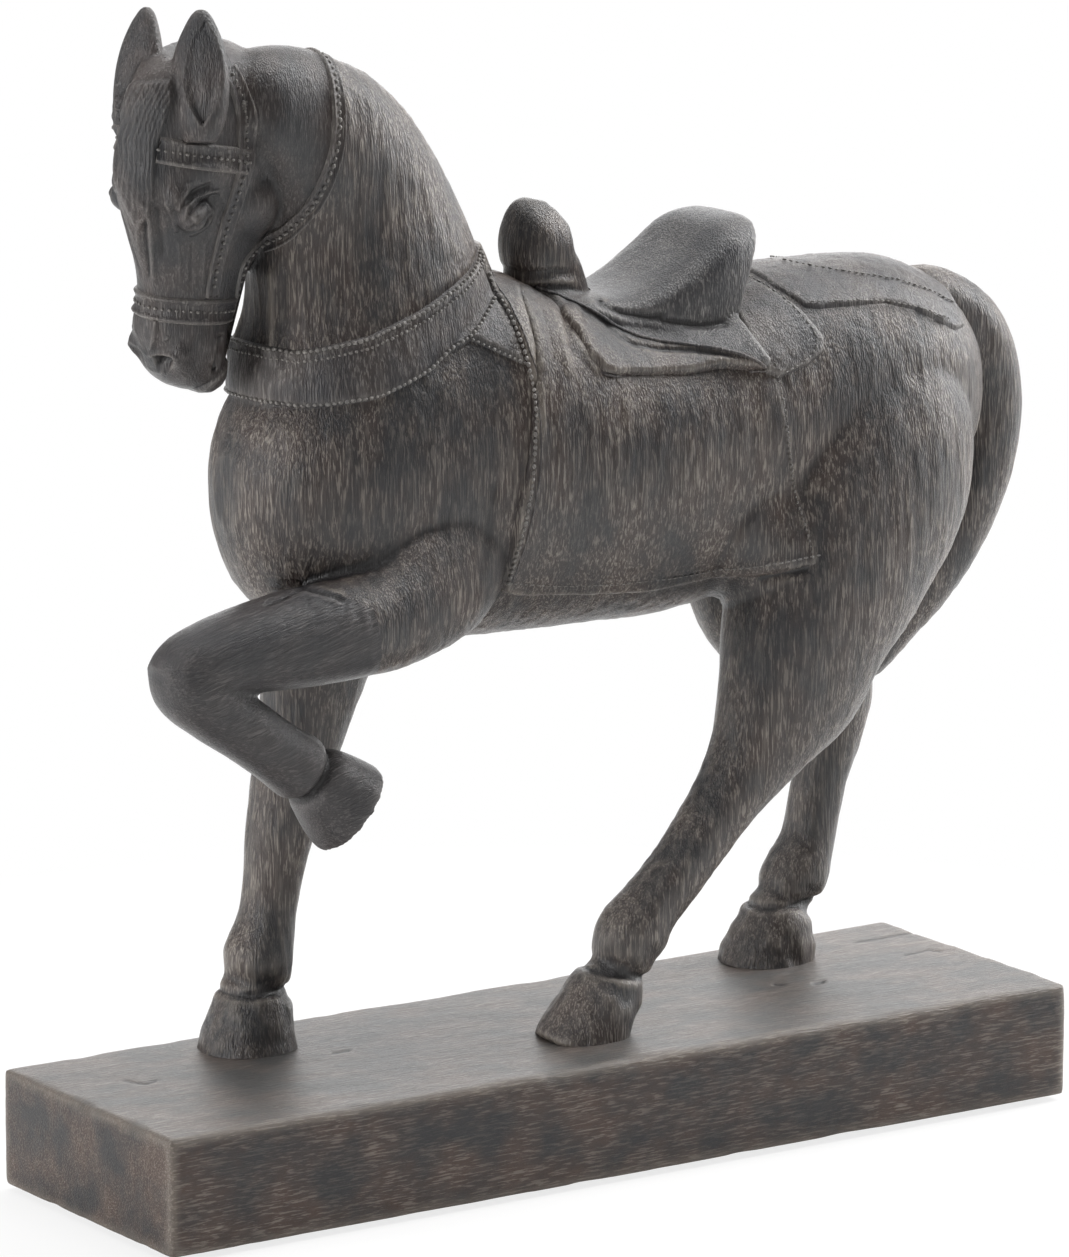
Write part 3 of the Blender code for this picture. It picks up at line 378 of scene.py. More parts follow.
SADDLE_STROKES = [
    ([(592, 292), (602, 304), (622, 313), (652, 317), (671, 313)], 3.4, -0.9),
    ([(654, 319), (700, 326), (734, 323)], 3.0, -0.7),
    ([(606, 312), (628, 325), (664, 329), (706, 333)], 5.0, 0.5),
    (
        [(592, 315), (606, 323), (618, 335), (634, 344), (662, 349), (692, 350), (722, 353), (746, 360)],
        2.4, -0.8,
    ),
    ([(500, 264), (511, 270), (524, 273), (546, 272), (577, 272)], 4.0, -0.5),
    ([(504, 282), (524, 283), (550, 281), (580, 282)], 2.4, 0.45),
    ([(502, 290), (524, 290), (550, 288), (582, 289)], 2.6, -0.5),
]
BLOCK_STROKES = [
    ([(850, 943), (872, 940), (898, 935), (920, 932)], 0.9, -0.35),
    ([(560, 1009), (586, 1006), (604, 1001)], 1.0, -0.5),
    ([(780, 962), (796, 960), (808, 957)], 1.6, -0.5),
    ([(812, 984), (826, 981)], 1.8, -0.6),
    ([(772, 984), (786, 984)], 1.4, -0.4),
    ([(900, 956), (928, 950), (946, 952)], 1.0, -0.4),
    ([(330, 1054), (352, 1050)], 1.4, -0.4),
    ([(120, 1080), (146, 1084), (160, 1079)], 1.2, -0.35),
]
# Where the blanket runs smoothly from the belly over the thigh
FLANK = [(712, 612), (730, 560), (756, 500), (800, 468), (836, 520), (832, 566), (796, 592), (750, 606)]
# Grooves over the hooves: a line in side view, and how far off the middle plane the leg stands
CORONETS = [
    ([(-96.0, 16.6), (-64.0, 17.2)], 27.0),
    ([(-2.0, 21.0), (30.0, 13.0)], -15.0),
    ([(86.0, 16.6), (116.0, 17.6)], 27.0),
    ([(-99.0, 77.0), (-84.0, 98.5)], -20.0),
]
CORONET_HALF_WIDTH, CORONET_DEPTH = 1.0, 0.9
# How far the lumps of pasterns and hooves stand out, and the heights at which they end and are full
HOOF_LUMPS = 0.5
LUMPS_END, LUMPS_FULL = 34.0, 18.0
# Lines of the bridle in the head's own side view
NOSEBAND_LINE = [
    (-40.0, -59.0), (-5.0, -66.0), (4.6, -68.2), (9.2, -69.0), (17.2, -71.0), (34.0, -75.6), (60.0, -82.0),
]
BROWBAND_LINE = [
    (-40.0, -8.0), (-3.3, -19.4), (5.8, -22.6), (17.7, -26.6), (25.1, -29.0), (30.2, -31.0), (60.0, -42.0),
]
CHEEK_LINE = [
    (29.0, -5.5), (30.8, -9.5), (31.3, -14.2), (31.2, -19.4), (30.8, -24.5), (29.6, -29.5), (27.6, -34.0),
    (25.6, -38.5), (23.0, -45.6), (21.3, -51.1), (20.1, -57.5), (19.0, -63.1), (18.3, -67.0),
]

# Lines of the harness in side view
COLLAR_TOP = [
    (-130.0, 206.0), (-96.5, 203.6), (-87.0, 202.0), (-69.0, 205.0), (-51.0, 211.0), (-35.0, 218.0),
    (-27.0, 223.0), (-15.0, 232.0),
]
COLLAR_FOOT = [
    (-135.0, 198.0), (-112.0, 192.5), (-107.0, 190.9), (-87.0, 188.0), (-67.0, 190.0), (-51.0, 195.5),
    (-43.8, 200.0), (-36.0, 202.6), (-20.0, 214.0),
]
COLLAR_TIE = [(-36.0, 201.6), (-30.0, 198.5), (-21.5, 194.4)]
CLOTH_FRONT = [
    (-23.8, 217.0), (-21.6, 204.8), (-19.6, 190.8), (-19.3, 176.9), (-21.3, 163.2), (-23.9, 149.5),
    (-27.4, 134.5),
]
CLOTH_HEM = [(-26.0, 132.6), (-11.4, 129.2), (8.7, 127.0), (35.7, 127.6), (53.1, 128.3), (72.0, 130.4)]
CLOTH_REAR = [(61.4, 183.0), (61.9, 172.5), (64.6, 159.4), (67.6, 147.5), (69.6, 136.4), (70.8, 131.5)]
SKIRT_FOOT = [
    (-2.9, 192.8), (0.5, 190.0), (11.1, 186.6), (20.5, 185.2), (34.0, 185.2), (47.5, 185.7), (58.4, 185.3),
]
SKIRT_TOP = [
    (-4.0, 211.5), (3.0, 208.4), (9.3, 205.3), (12.3, 203.1), (14.6, 199.9), (18.0, 197.1), (26.8, 195.1),
    (36.0, 194.1), (44.4, 192.8), (52.1, 190.6), (56.0, 187.6), (60.5, 183.8),
]
FLAP_FRONT = [(51.0, 202.5), (54.0, 196.6), (58.0, 190.2), (61.8, 184.6)]
FLAP_REAR = [
    (64.5, 211.0), (68.4, 205.0), (75.0, 197.5), (79.2, 191.5), (78.6, 188.9), (72.1, 185.6), (64.0, 183.8),
]
CRUPPER_TOP = [(72.0, 212.0), (90.4, 206.2), (101.9, 205.6), (113.0, 204.4), (124.0, 200.0), (132.0, 195.0)]
CRUPPER_FOOT = [(80.0, 200.6), (91.8, 200.2), (106.0, 199.6), (117.5, 196.6), (127.0, 191.6)]

# How far the collar's second row of beads runs below the first
SECOND_ROW_DROP = 2.4

# Where the castings meet, in side view
HEAD_SIDE = [
    (-170.0, 180.0), (-112.0, 180.0), (-100.0, 200.0), (-98.0, 226.0), (-95.5, 228.6), (-91.5, 230.6),
    (-88.4, 234.0), (-85.6, 238.0), (-82.3, 242.6), (-80.4, 246.5), (-78.7, 251.0), (-77.3, 255.0),
    (-76.2, 259.8), (-75.6, 264.8), (-75.4, 270.0), (-74.9, 276.0), (-74.6, 282.0), (-74.6, 290.0),
    (-80.0, 320.0), (-170.0, 330.0),
]
RAISED_LEG_SIDE = [
    (-60.0, 97.0), (-72.0, 108.0), (-77.0, 134.0), (-89.0, 140.5), (-102.0, 140.5), (-160.0, 156.0),
    (-160.0, 50.0), (-60.0, 50.0),
]
# Heights at which the legs are cast on, and the x at which the trunk's two halves meet
THIGH_CUT = 99.0
FORELEG_CUT = 95.0
MIDDLE_CUT = 2.0
# Where the standing foreleg is, from front to back, and how far off the middle the raised leg starts
STANDING_LEG = (-112.0, -30.0)
RAISED_LEG_FROM = -5.0
# The pommel's knob stands above this height and in front of this x; the skirts run between the others
KNOB_FOOT, KNOB_BACK = 206.5, 16.5
SKIRT_FRONT, SKIRT_BACK = -3.5, 60.0
# The collar's beads run in front of this x and between these heights
COLLAR_BACK, COLLAR_LOW, COLLAR_HIGH = -24.5, 184.0, 224.0
# How deep the carver's gouge marks are; the raised leg is smoother than the rest by the second value
GOUGED, LESS_GOUGED, FINELY_GOUGED, TAIL_GOUGED = 0.16, 0.11, 0.06, 0.14
# How far a casting draws in under the one that covers its edge, and how far they overlap
SEAM_DEPTH = 0.3
SEAM_OVERLAP = 1.2
# How far the rear flaps keep off the middle plane, where the crupper runs
CRUPPER_HALF = 9.0
# How thick the cloth and leather layers are; the blanket thins between two places along x
BLANKET_THICKNESS, BLANKET_THINNING = 1.5, 1.1
BLANKET_THINS = (20.0, 62.0)
COLLAR_THICKNESS, CRUPPER_THICKNESS, FLAP_THICKNESS = 1.3, 0.9, 1.8
# Straps of the bridle: half their width, and their thickness
NECK_STRAP, NOSEBAND, BROWBAND = (2.4, 0.75), (3.3, 0.95), (3.4, 0.75)
CHEEK_STRAP_THICKNESS = 0.75
# A strap's section, in shares of its half width and its thickness: the foot of its edge, its rim and middle
STRAP_EDGE, STRAP_MIDDLE = 1.15, 0.46
STRAP_RIM = [(1.05, 0.1), (0.95, 0.7), (0.82, 1.0), (0.66, 0.75), (0.45, 0.42)]
# A pad's domed foot: share of its radius, and height; then the share of its radius at its seat
PAD_DOME = [(0.55, 0.0), (0.8, 0.05), (0.94, 0.35), (1.0, 0.9), (1.0, 1.4)]
PAD_SEAT = 0.97
# The block: how deep its wear, its finer wear and its dents are, and how strongly its top is lightened by
# dust and a painted sheen
BLOCK_WEAR, BLOCK_FINE_WEAR, BLOCK_DENTS = 0.12, 0.05, 0.45
BLOCK_DUST_AND_SHEEN = 0.22
# Farther out from the middle than any surface
FAR_OUT = 80.0
# Spacing of the points of a line laid on the skin
LINE_STEP = 0.8
FINE_STEP = 0.7


class Skin:
    """A closed surface: its points, its triangles, and the direction each point faces."""

    def __init__(self, points, tris):
        self.points = points
        self.tris = tris
        self.heads = tris.ravel()
        self.tails = tris[:, [1, 2, 0]].ravel()
        count = len(points)
        links = np.bincount(self.heads, minlength=count) + np.bincount(self.tails, minlength=count)
        self.links = np.maximum(links, 1)
        self.face()

    def face(self):
        """Finds the direction each point faces."""
        corners = self.points[self.tris]
        area = np.cross(corners[:, 1] - corners[:, 0], corners[:, 2] - corners[:, 0])
        sums = [
            sum(np.bincount(self.tris[:, k], area[:, axis], minlength=len(self.points)) for k in range(3))
            for axis in range(3)
        ]
        normals = np.stack(sums, axis=1)
        self.normals = normals / np.maximum(1e-9, np.linalg.norm(normals, axis=1, keepdims=True))

    def press(self, amount):
        """Moves every point out along its normal by its own amount."""
        self.points = self.points + self.normals * amount[:, None]
        self.face()

    def softened(self, values, rounds):
        """Values averaged over neighbouring points the given number of times."""
        table = values if values.ndim == 2 else values[:, None]
        for _ in range(rounds):
            sums = [
                np.bincount(self.heads, column[self.tails], minlength=len(column))
                + np.bincount(self.tails, column[self.heads], minlength=len(column))
                for column in table.T
            ]
            table = 0.5 * table + 0.5 * np.stack(sums, axis=1) / self.links[:, None]
        return table if values.ndim == 2 else table[:, 0]

    def standing_out(self, rounds):
        """How far each point stands out of the same skin once it is softened, in mm."""
        return ((self.points - self.softened(self.points, rounds)) * self.normals).sum(axis=1)


# Sculpting tools


def spline_rows(rows, steps):
    """Rows along a Catmull-Rom curve through the given ones, with the given number of steps a span."""
    table = np.array(rows, float)
    padded = np.vstack([2 * table[0] - table[1], table, 2 * table[-1] - table[-2]])
    made = []
    for i in range(1, len(padded) - 2):
        a, b, c, d = padded[i - 1 : i + 3]
        for step in range(steps):
            t = step / steps
            bend, twist = 2 * a - 5 * b + 4 * c - d, 3 * b - a - 3 * c + d
            made.append(0.5 * (2 * b + (c - a) * t + bend * t * t + twist * t**3))
    made.append(padded[-2])
    return np.array(made)


def unit(vectors):
    """The directions of the vectors."""
    return vectors / np.maximum(1e-9, np.linalg.norm(vectors, axis=-1, keepdims=True))


def closed_tube(rings):
    """A closed surface through rings of points, ended by a point at each end."""
    count, sides = rings.shape[:2]
    index = np.arange(count * sides).reshape(count, sides)
    a, b = index[:-1], np.roll(index[:-1], -1, axis=1)
    c, d = np.roll(index[1:], -1, axis=1), index[1:]
    wall = np.concatenate([np.stack([a, b, c], -1).reshape(-1, 3), np.stack([a, c, d], -1).reshape(-1, 3)])
    first, last = count * sides, count * sides + 1
    start = np.stack([np.full(sides, first), np.roll(index[0], -1), index[0]], -1)
    end = np.stack([np.full(sides, last), index[-1], np.roll(index[-1], -1)], -1)
    points = np.concatenate([rings.reshape(-1, 3), rings[0].mean(0)[None], rings[-1].mean(0)[None]])
    return outward(points, np.concatenate([wall, start, end]))


def outward(points, tris):
    """The surface with its faces turned outward."""
    a, b, c = points[tris[:, 0]], points[tris[:, 1]], points[tris[:, 2]]
    volume = (a * np.cross(b, c)).sum()
    return (points, tris) if volume > 0 else (points, tris[:, ::-1])


def loft(rows, sides=72, steps=8, squareness=2.2, facing=None):
    """A closed skin through rounded rings, square to the line of their centres or facing one way."""
    table = spline_rows(rows, steps)
    centres = table[:, :3]
    tangents = np.gradient(centres, axis=0)
    turns = np.linspace(0.0, 2 * np.pi, sides, endpoint=False)
    c, s = np.cos(turns), np.sin(turns)
    c = np.sign(c) * np.abs(c) ** (2 / squareness)
    s = np.sign(s) * np.abs(s) ** (2 / squareness)
    rings = []
    for centre, tangent, (across, plus, minus) in zip(centres, tangents, table[:, 3:6]):
        along = unit(np.array(facing, float)) if facing else unit(tangent)
        side = np.array([0.0, 1.0, 0.0])
        side = unit(side - side.dot(along) * along)
        up = np.cross(along, side)
        reach = np.where(s > 0, plus, minus)
        rings.append(centre + np.outer(c * across, side) + np.outer(s * reach, up))
    return closed_tube(np.array(rings))


def ball(centre, radius):
    """A ball, ringed from just off its foot to just off its top."""
    x, y, z = centre
    turns = np.linspace(0.04, np.pi - 0.04, 18)
    rows = [(x, y, z - radius * math.cos(t), *[radius * math.sin(t)] * 3) for t in turns]
    return loft(rows, sides=36, steps=1, squareness=2.0, facing=(0.0, 0.0, 1.0))


def joined(shapes):
    """All the shapes as one list of points and one of triangles."""
    points, tris, start = [], [], 0
    for shape_points, shape_tris in shapes:
        points.append(shape_points)
        tris.append(shape_tris + start)
        start += len(shape_points)
    return np.concatenate(points), np.concatenate(tris)


def mesh_data(name, points, tris):
    """A Blender mesh in metres, lifted onto the block."""
    data = bpy.data.meshes.new(name)
    data.vertices.add(len(points))
    data.vertices.foreach_set("co", ((points + (0.0, 0.0, BLOCK_TOP)) * MM).astype(np.float32).ravel())
    data.loops.add(3 * len(tris))
    data.loops.foreach_set("vertex_index", tris.astype(np.int32).ravel())
    data.polygons.add(len(tris))
    data.polygons.foreach_set("loop_start", np.arange(0, 3 * len(tris), 3, dtype=np.int32))
    data.update(calc_edges=True)
    return data


def arrays_of(data):
    """A Blender mesh's points in mm above the block, and its triangles."""
    points = np.empty(3 * len(data.vertices), np.float32)
    data.vertices.foreach_get("co", points)
    data.calc_loop_triangles()
    tris = np.empty(3 * len(data.loop_triangles), np.int32)
    data.loop_triangles.foreach_get("vertices", tris)
    points = points.reshape(-1, 3).astype(float) / MM - (0.0, 0.0, BLOCK_TOP)
    return points, tris.reshape(-1, 3).astype(np.int64)


def linked(name, data):
    """A new object in the scene."""
    obj = bpy.data.objects.new(name, data)
    bpy.context.scene.collection.objects.link(obj)
    return obj


def evaluated(obj):
    """The mesh that the object's modifiers make, after which the object is removed."""
    graph = bpy.context.evaluated_depsgraph_get()
    data = bpy.data.meshes.new_from_object(obj.evaluated_get(graph), depsgraph=graph)
    bpy.data.objects.remove(obj)
    return data


def skin_over(shapes, grain, rounds):
    """One skin round all the shapes, softened where they meet."""
    obj = linked("clay", mesh_data("clay", *joined(shapes)))
    remesh = obj.modifiers.new("one_skin", "REMESH")
    remesh.mode = "VOXEL"
    remesh.voxel_size = grain * MM
    remesh.adaptivity = 0.0
    soften = obj.modifiers.new("soften", "SMOOTH")
    soften.factor = 0.5
    soften.iterations = rounds
    return Skin(*arrays_of(evaluated(obj)))


def noise(points, spacing, seed):
    """Smooth random values from -1 to 1, with the given spacing in mm along x, y and z."""
    scaled = points / np.array(spacing, float)
    cell = np.floor(scaled).astype(np.int64)
    part = scaled - cell
    part = part * part * (3 - 2 * part)
    total = np.zeros(len(points))
    # Each corner of a point's cell gets its own value from a hash of its place and the seed
    for corner in np.ndindex(2, 2, 2):
        at = cell + np.array(corner)
        code = (at[:, 0] * 73856093) ^ (at[:, 1] * 19349663) ^ (at[:, 2] * 83492791) ^ (seed * 2654435761)
        code = (code ^ (code >> 13)) * 1274126177 & 0xFFFFFFFF
        value = ((code ^ (code >> 16)) & 0xFFFF) / 32767.5 - 1.0
        total += value * np.where(np.array(corner), part, 1 - part).prod(axis=1)
    return total


def path_distance(points, path, closed=False):
    """For points in a plane or in space: distance from the path, share of its length, and side of it."""
    path = np.array(path, float)
    if closed:
        path = np.vstack([path, path[:1]])
    steps = np.linalg.norm(np.diff(path, axis=0), axis=1)
    starts = np.concatenate([[0.0], np.cumsum(steps)])
    best = np.full(len(points), 1e9)
    share = np.zeros(len(points))
    side = np.ones(len(points))
    for i, length in enumerate(steps):
        along = (path[i + 1] - path[i]) / max(length, 1e-9)
        offset = points - path[i]
        reach = np.clip(offset @ along, 0.0, length)
        distance = np.linalg.norm(offset - reach[:, None] * along, axis=1)
        closer = distance < best
        best = np.where(closer, distance, best)
        share = np.where(closer, (starts[i] + reach) / starts[-1], share)
        if points.shape[1] == 2:
            cross = along[0] * offset[:, 1] - along[1] * offset[:, 0]
            side = np.where(closer, np.sign(cross), side)
    return best, share, side


def within(points, outline):
    """Distance inside the outline, less than nothing outside it."""
    distance = path_distance(points, outline, closed=True)[0]
    corners = np.array(outline, float)
    inside = np.zeros(len(points), bool)
    for a, b in zip(corners, np.roll(corners, -1, axis=0)):
        spans = (a[1] > points[:, 1]) != (b[1] > points[:, 1])
        rise = b[1] - a[1] if b[1] != a[1] else 1e-9
        inside ^= spans & (points[:, 0] < (b[0] - a[0]) * (points[:, 1] - a[1]) / rise + a[0])
    return np.where(inside, distance, -distance)


def side_view(points):
    """The points' x and height."""
    return points[:, [0, 2]]


def smooth_step(values, low, high):
    """From 0 at low to 1 at high, easing in and out."""
    t = np.clip((values - low) / (high - low), 0.0, 1.0)
    return t * t * (3 - 2 * t)


def level_lines(skin, field):
    """The lines on the skin where the field passes nothing, as chains of points, longest first."""
    above = field > 0
    crossed = skin.tris[above[skin.tris].any(axis=1) & ~above[skin.tris].all(axis=1)]
    links = {}
    for tri in crossed.tolist():
        ends = [(min(a, b), max(a, b)) for a, b in zip(tri, tri[1:] + tri[:1]) if above[a] != above[b]]
        links.setdefault(ends[0], []).append(ends[1])
        links.setdefault(ends[1], []).append(ends[0])
    chains = []
    waiting = sorted(links, key=lambda key: len(links[key]))
    passed = set()
    for start in waiting:
        if start in passed:
            continue
        chain = [start]
        passed.add(start)
        while True:
            following = [key for key in links[chain[-1]] if key not in passed]
            if not following:
                break
            chain.append(following[0])
            passed.add(following[0])
        closed = len(chain) > 2 and chain[0] in links[chain[-1]]
        a, b = np.array(chain).T
        share = field[a] / (field[a] - field[b])
        points = skin.points[a] + (skin.points[b] - skin.points[a]) * share[:, None]
        chains.append(np.vstack([points, points[:1]]) if closed else points)
    return sorted(chains, key=len, reverse=True)


def even_path(points, spacing, rounds=6):
    """The path smoothed and given evenly spaced points."""
    path = np.array(points, float)
    closed = np.allclose(path[0], path[-1])
    for _ in range(rounds):
        if closed:
            ring = path[:-1]
            ring = 0.5 * ring + 0.25 * (np.roll(ring, 1, axis=0) + np.roll(ring, -1, axis=0))
            path = np.vstack([ring, ring[:1]])
        else:
            path[1:-1] = 0.5 * path[1:-1] + 0.25 * (path[:-2] + path[2:])
    steps = np.concatenate([[0.0], np.cumsum(np.linalg.norm(np.diff(path, axis=0), axis=1))])
    places = np.linspace(0.0, steps[-1], max(3, round(steps[-1] / spacing) + 1))
    return np.stack([np.interp(places, steps, column) for column in path.T], axis=1)


def head_turn():
    """The turn that takes a direction from the head's own frame to the statue's."""
    turn = Matrix.Rotation(math.radians(HEAD_TURN), 3, "Z")
    roll = Matrix.Rotation(math.radians(HEAD_ROLL), 3, "X")
    tuck = Matrix.Rotation(math.radians(-HEAD_TUCK), 3, "Y")
    return np.array(turn @ roll @ tuck)


def from_head(points):
    """Places in the statue's frame, from the head's own."""
    return np.array(points, float) @ head_turn().T + HEAD_PLACE


def to_head(points):
    """Places in the head's own frame, where it faces -x with its brow line at x = 0."""
    return (points - np.array(HEAD_PLACE)) @ head_turn()


def view_axes():
    """Towards the camera, across its picture and up its picture."""
    turn, rise = math.radians(VIEW_TURN), math.radians(VIEW_RISE)
    back = np.array((math.sin(turn) * math.cos(rise), -math.cos(turn) * math.cos(rise), math.sin(rise)))
    across = unit(np.cross(-back, (0.0, 0.0, 1.0)))
    return back, across, np.cross(across, -back)


def seen(points):
    """Where the points stand in the photograph, in its own pixels."""
    back, across, up = view_axes()
    offset = points + (0.0, 0.0, BLOCK_TOP) - np.array(VIEW_CENTRE)
    scale = VIEW_SCALE / (VIEW_DISTANCE - offset @ back)
    right, down = scale * (offset @ across), -scale * (offset @ up)
    return np.stack([PHOTO_WIDTH / 2 + right, PHOTO_HEIGHT / 2 + down], axis=1)


def folded(points, normals, middle):
    """The points and the directions they face, with the right side folded over onto the left."""
    left = points.copy()
    left[:, 1] = middle - np.abs(points[:, 1] - middle)
    facing = normals.copy()
    facing[:, 1] *= np.where(points[:, 1] > middle, -1.0, 1.0)
    return left, facing


def stroked(places, strokes, hold):
    """What all the strokes together raise or sink each point by."""
    return sum(stroke(places, *given, hold=hold) for given in strokes)


def stroke(places, path, width, height, hold=1.0, taper=0.15):
    """How much a stroke along the path raises each point, or sinks it where the height is negative."""
    path = np.array(path, float)
    reach = 3.0 * width
    near = ((places > path.min(axis=0) - reach) & (places < path.max(axis=0) + reach)).all(axis=1)
    change = np.zeros(len(places))
    change[near] = stroke_of(places[near], path, width, height, taper)
    return change * hold


def stroke_of(places, path, width, height, taper):
    """The stroke's own profile, fading towards the ends of its path where it has a taper."""
    distance, share, _ = path_distance(places, path)
    ends = smooth_step(np.minimum(share, 1 - share), -0.01, taper) if taper else 1.0
    return height * np.exp(-((distance / width) ** 2)) * ends


# Pieces


def capped(points, tris):
    """The surface with each open edge closed by a fan round its middle; the new points come last."""
    count = len(points)
    ends = tris[:, [1, 2, 0]]
    code = (tris * count + ends).ravel()
    back = (ends * count + tris).ravel()
    open_edges = ~np.isin(code, back)
    onward = {}
    for start, stop in zip(tris.ravel()[open_edges].tolist(), ends.ravel()[open_edges].tolist()):
        onward.setdefault(start, []).append(stop)
    loops = []
    for first in onward:
        walk = [first]
        while onward[walk[-1]]:
            at = onward[walk[-1]].pop()
            if at in walk:
                turn = walk.index(at)
                loops.append(walk[turn:])
                del walk[turn + 1 :]
            else:
                walk.append(at)
    if not loops:
        return points, tris
    added, fans = [], []
    for loop in loops:
        middle = count + len(added)
        added.append(points[loop].mean(axis=0))
        fans += [(b, a, middle) for a, b in zip(loop, loop[1:] + loop[:1])]
    return np.concatenate([points, added]), np.concatenate([tris, fans])


def dress(obj, slot_name, *nodes):
    """Rides the piece on the statue and lets it stand for CAD nodes; the slot name is not used."""
    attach(obj, "root")
    if nodes:
        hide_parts(*nodes)
    return obj


def piece(name, points, tris, material, slot_name, nodes=(), normals=None, paint=None):
    """A finished piece: closed, smooth, painted and riding on the statue."""
    count = len(points)
    points, tris = capped(points, tris)
    extra = len(points) - count
    data = mesh_data(name, points, tris)
    data.polygons.foreach_set("use_smooth", np.ones(len(tris), bool))
    for key, values in (paint or {}).items():
        values = np.concatenate([values, np.repeat(values[:1], extra)])
        data.attributes.new(key, "FLOAT", "POINT").data.foreach_set("value", values.astype(np.float32))
    if normals is not None:
        if extra:
            normals = np.concatenate([normals, np.tile((0.0, 0.0, 1.0), (extra, 1))])
        data.normals_split_custom_set_from_vertices(normals.tolist())
    data.materials.append(material)
    return dress(linked(name, data), slot_name, *nodes)


def cast(name, skin, keep, paint, look, slot_name, node):
    """A piece of only the kept triangles of a skin, facing as the whole skin does along its cuts."""
    used, index = np.unique(skin.tris[keep], return_inverse=True)
    tris = index.reshape(-1, 3)
    painted = {key: values[used] for key, values in paint.items()}
    piece(name, skin.points[used], tris, look, slot_name, (node,), skin.normals[used], painted)


def layer(skin, inside, height, sink=0.5):
    """A closed layer over the part of the skin where inside is above nothing, with rounded edges."""
    keep = (inside[skin.tris] > 0).any(axis=1)
    tris = skin.tris[keep]
    used, index = np.unique(tris, return_inverse=True)
    tris = index.reshape(-1, 3)
    points, normals = skin.points[used], skin.normals[used]
    top = points + normals * height[used][:, None]
    below = points - normals * sink
    code_from, code_to = tris.ravel(), tris[:, [1, 2, 0]].ravel()
    count = len(points)
    rim = ~np.isin(code_from * count + code_to, code_to * count + code_from)
    a, b = code_from[rim], code_to[rim]
    wall = np.concatenate([np.stack([b, a, a + count], -1), np.stack([b, a + count, b + count], -1)])
    every = np.concatenate([tris, tris[:, ::-1] + count, wall])
    return np.concatenate([top, below]), every


# Materials

# How deep the streaks of the carving and the grit of the casting are, in mm
STREAK_DEPTH = 0.45
GRIT_DEPTH = 0.12
# What lightens the block's top, dust and a painted sheen, and what darkens hollows and creases, stain that
# gathers there and painted shade
DUST_AND_SHEEN = "#7d7c78"
HOLLOW_STAIN_AND_SHADE = "#151213"


def colour(code):
    """An sRGB hex colour as linear red, green, blue and alpha."""
    parts = [int(code[i : i + 2], 16) / 255 for i in (1, 3, 5)]
    return (*[p / 12.92 if p <= 0.04045 else ((p + 0.055) / 1.055) ** 2.4 for p in parts], 1.0)


def add(tree, kind, inputs=None, **settings):
    """A node with its settings, and its inputs given as plain values or as the sockets that feed them."""
    made = tree.nodes.new(kind)
    for name, value in settings.items():
        setattr(made, name, value)
    for key, value in (inputs or {}).items():
        socket = made.inputs[key]
        if isinstance(value, bpy.types.NodeSocket):
            tree.links.new(value, socket)
        else:
            socket.default_value = value
    return made


def started(name):
    """A new material with only its surface shader and output."""
    material = bpy.data.materials.new(name)
    material.use_nodes = True
    tree = material.node_tree
    return material, tree, tree.nodes["Principled BSDF"]


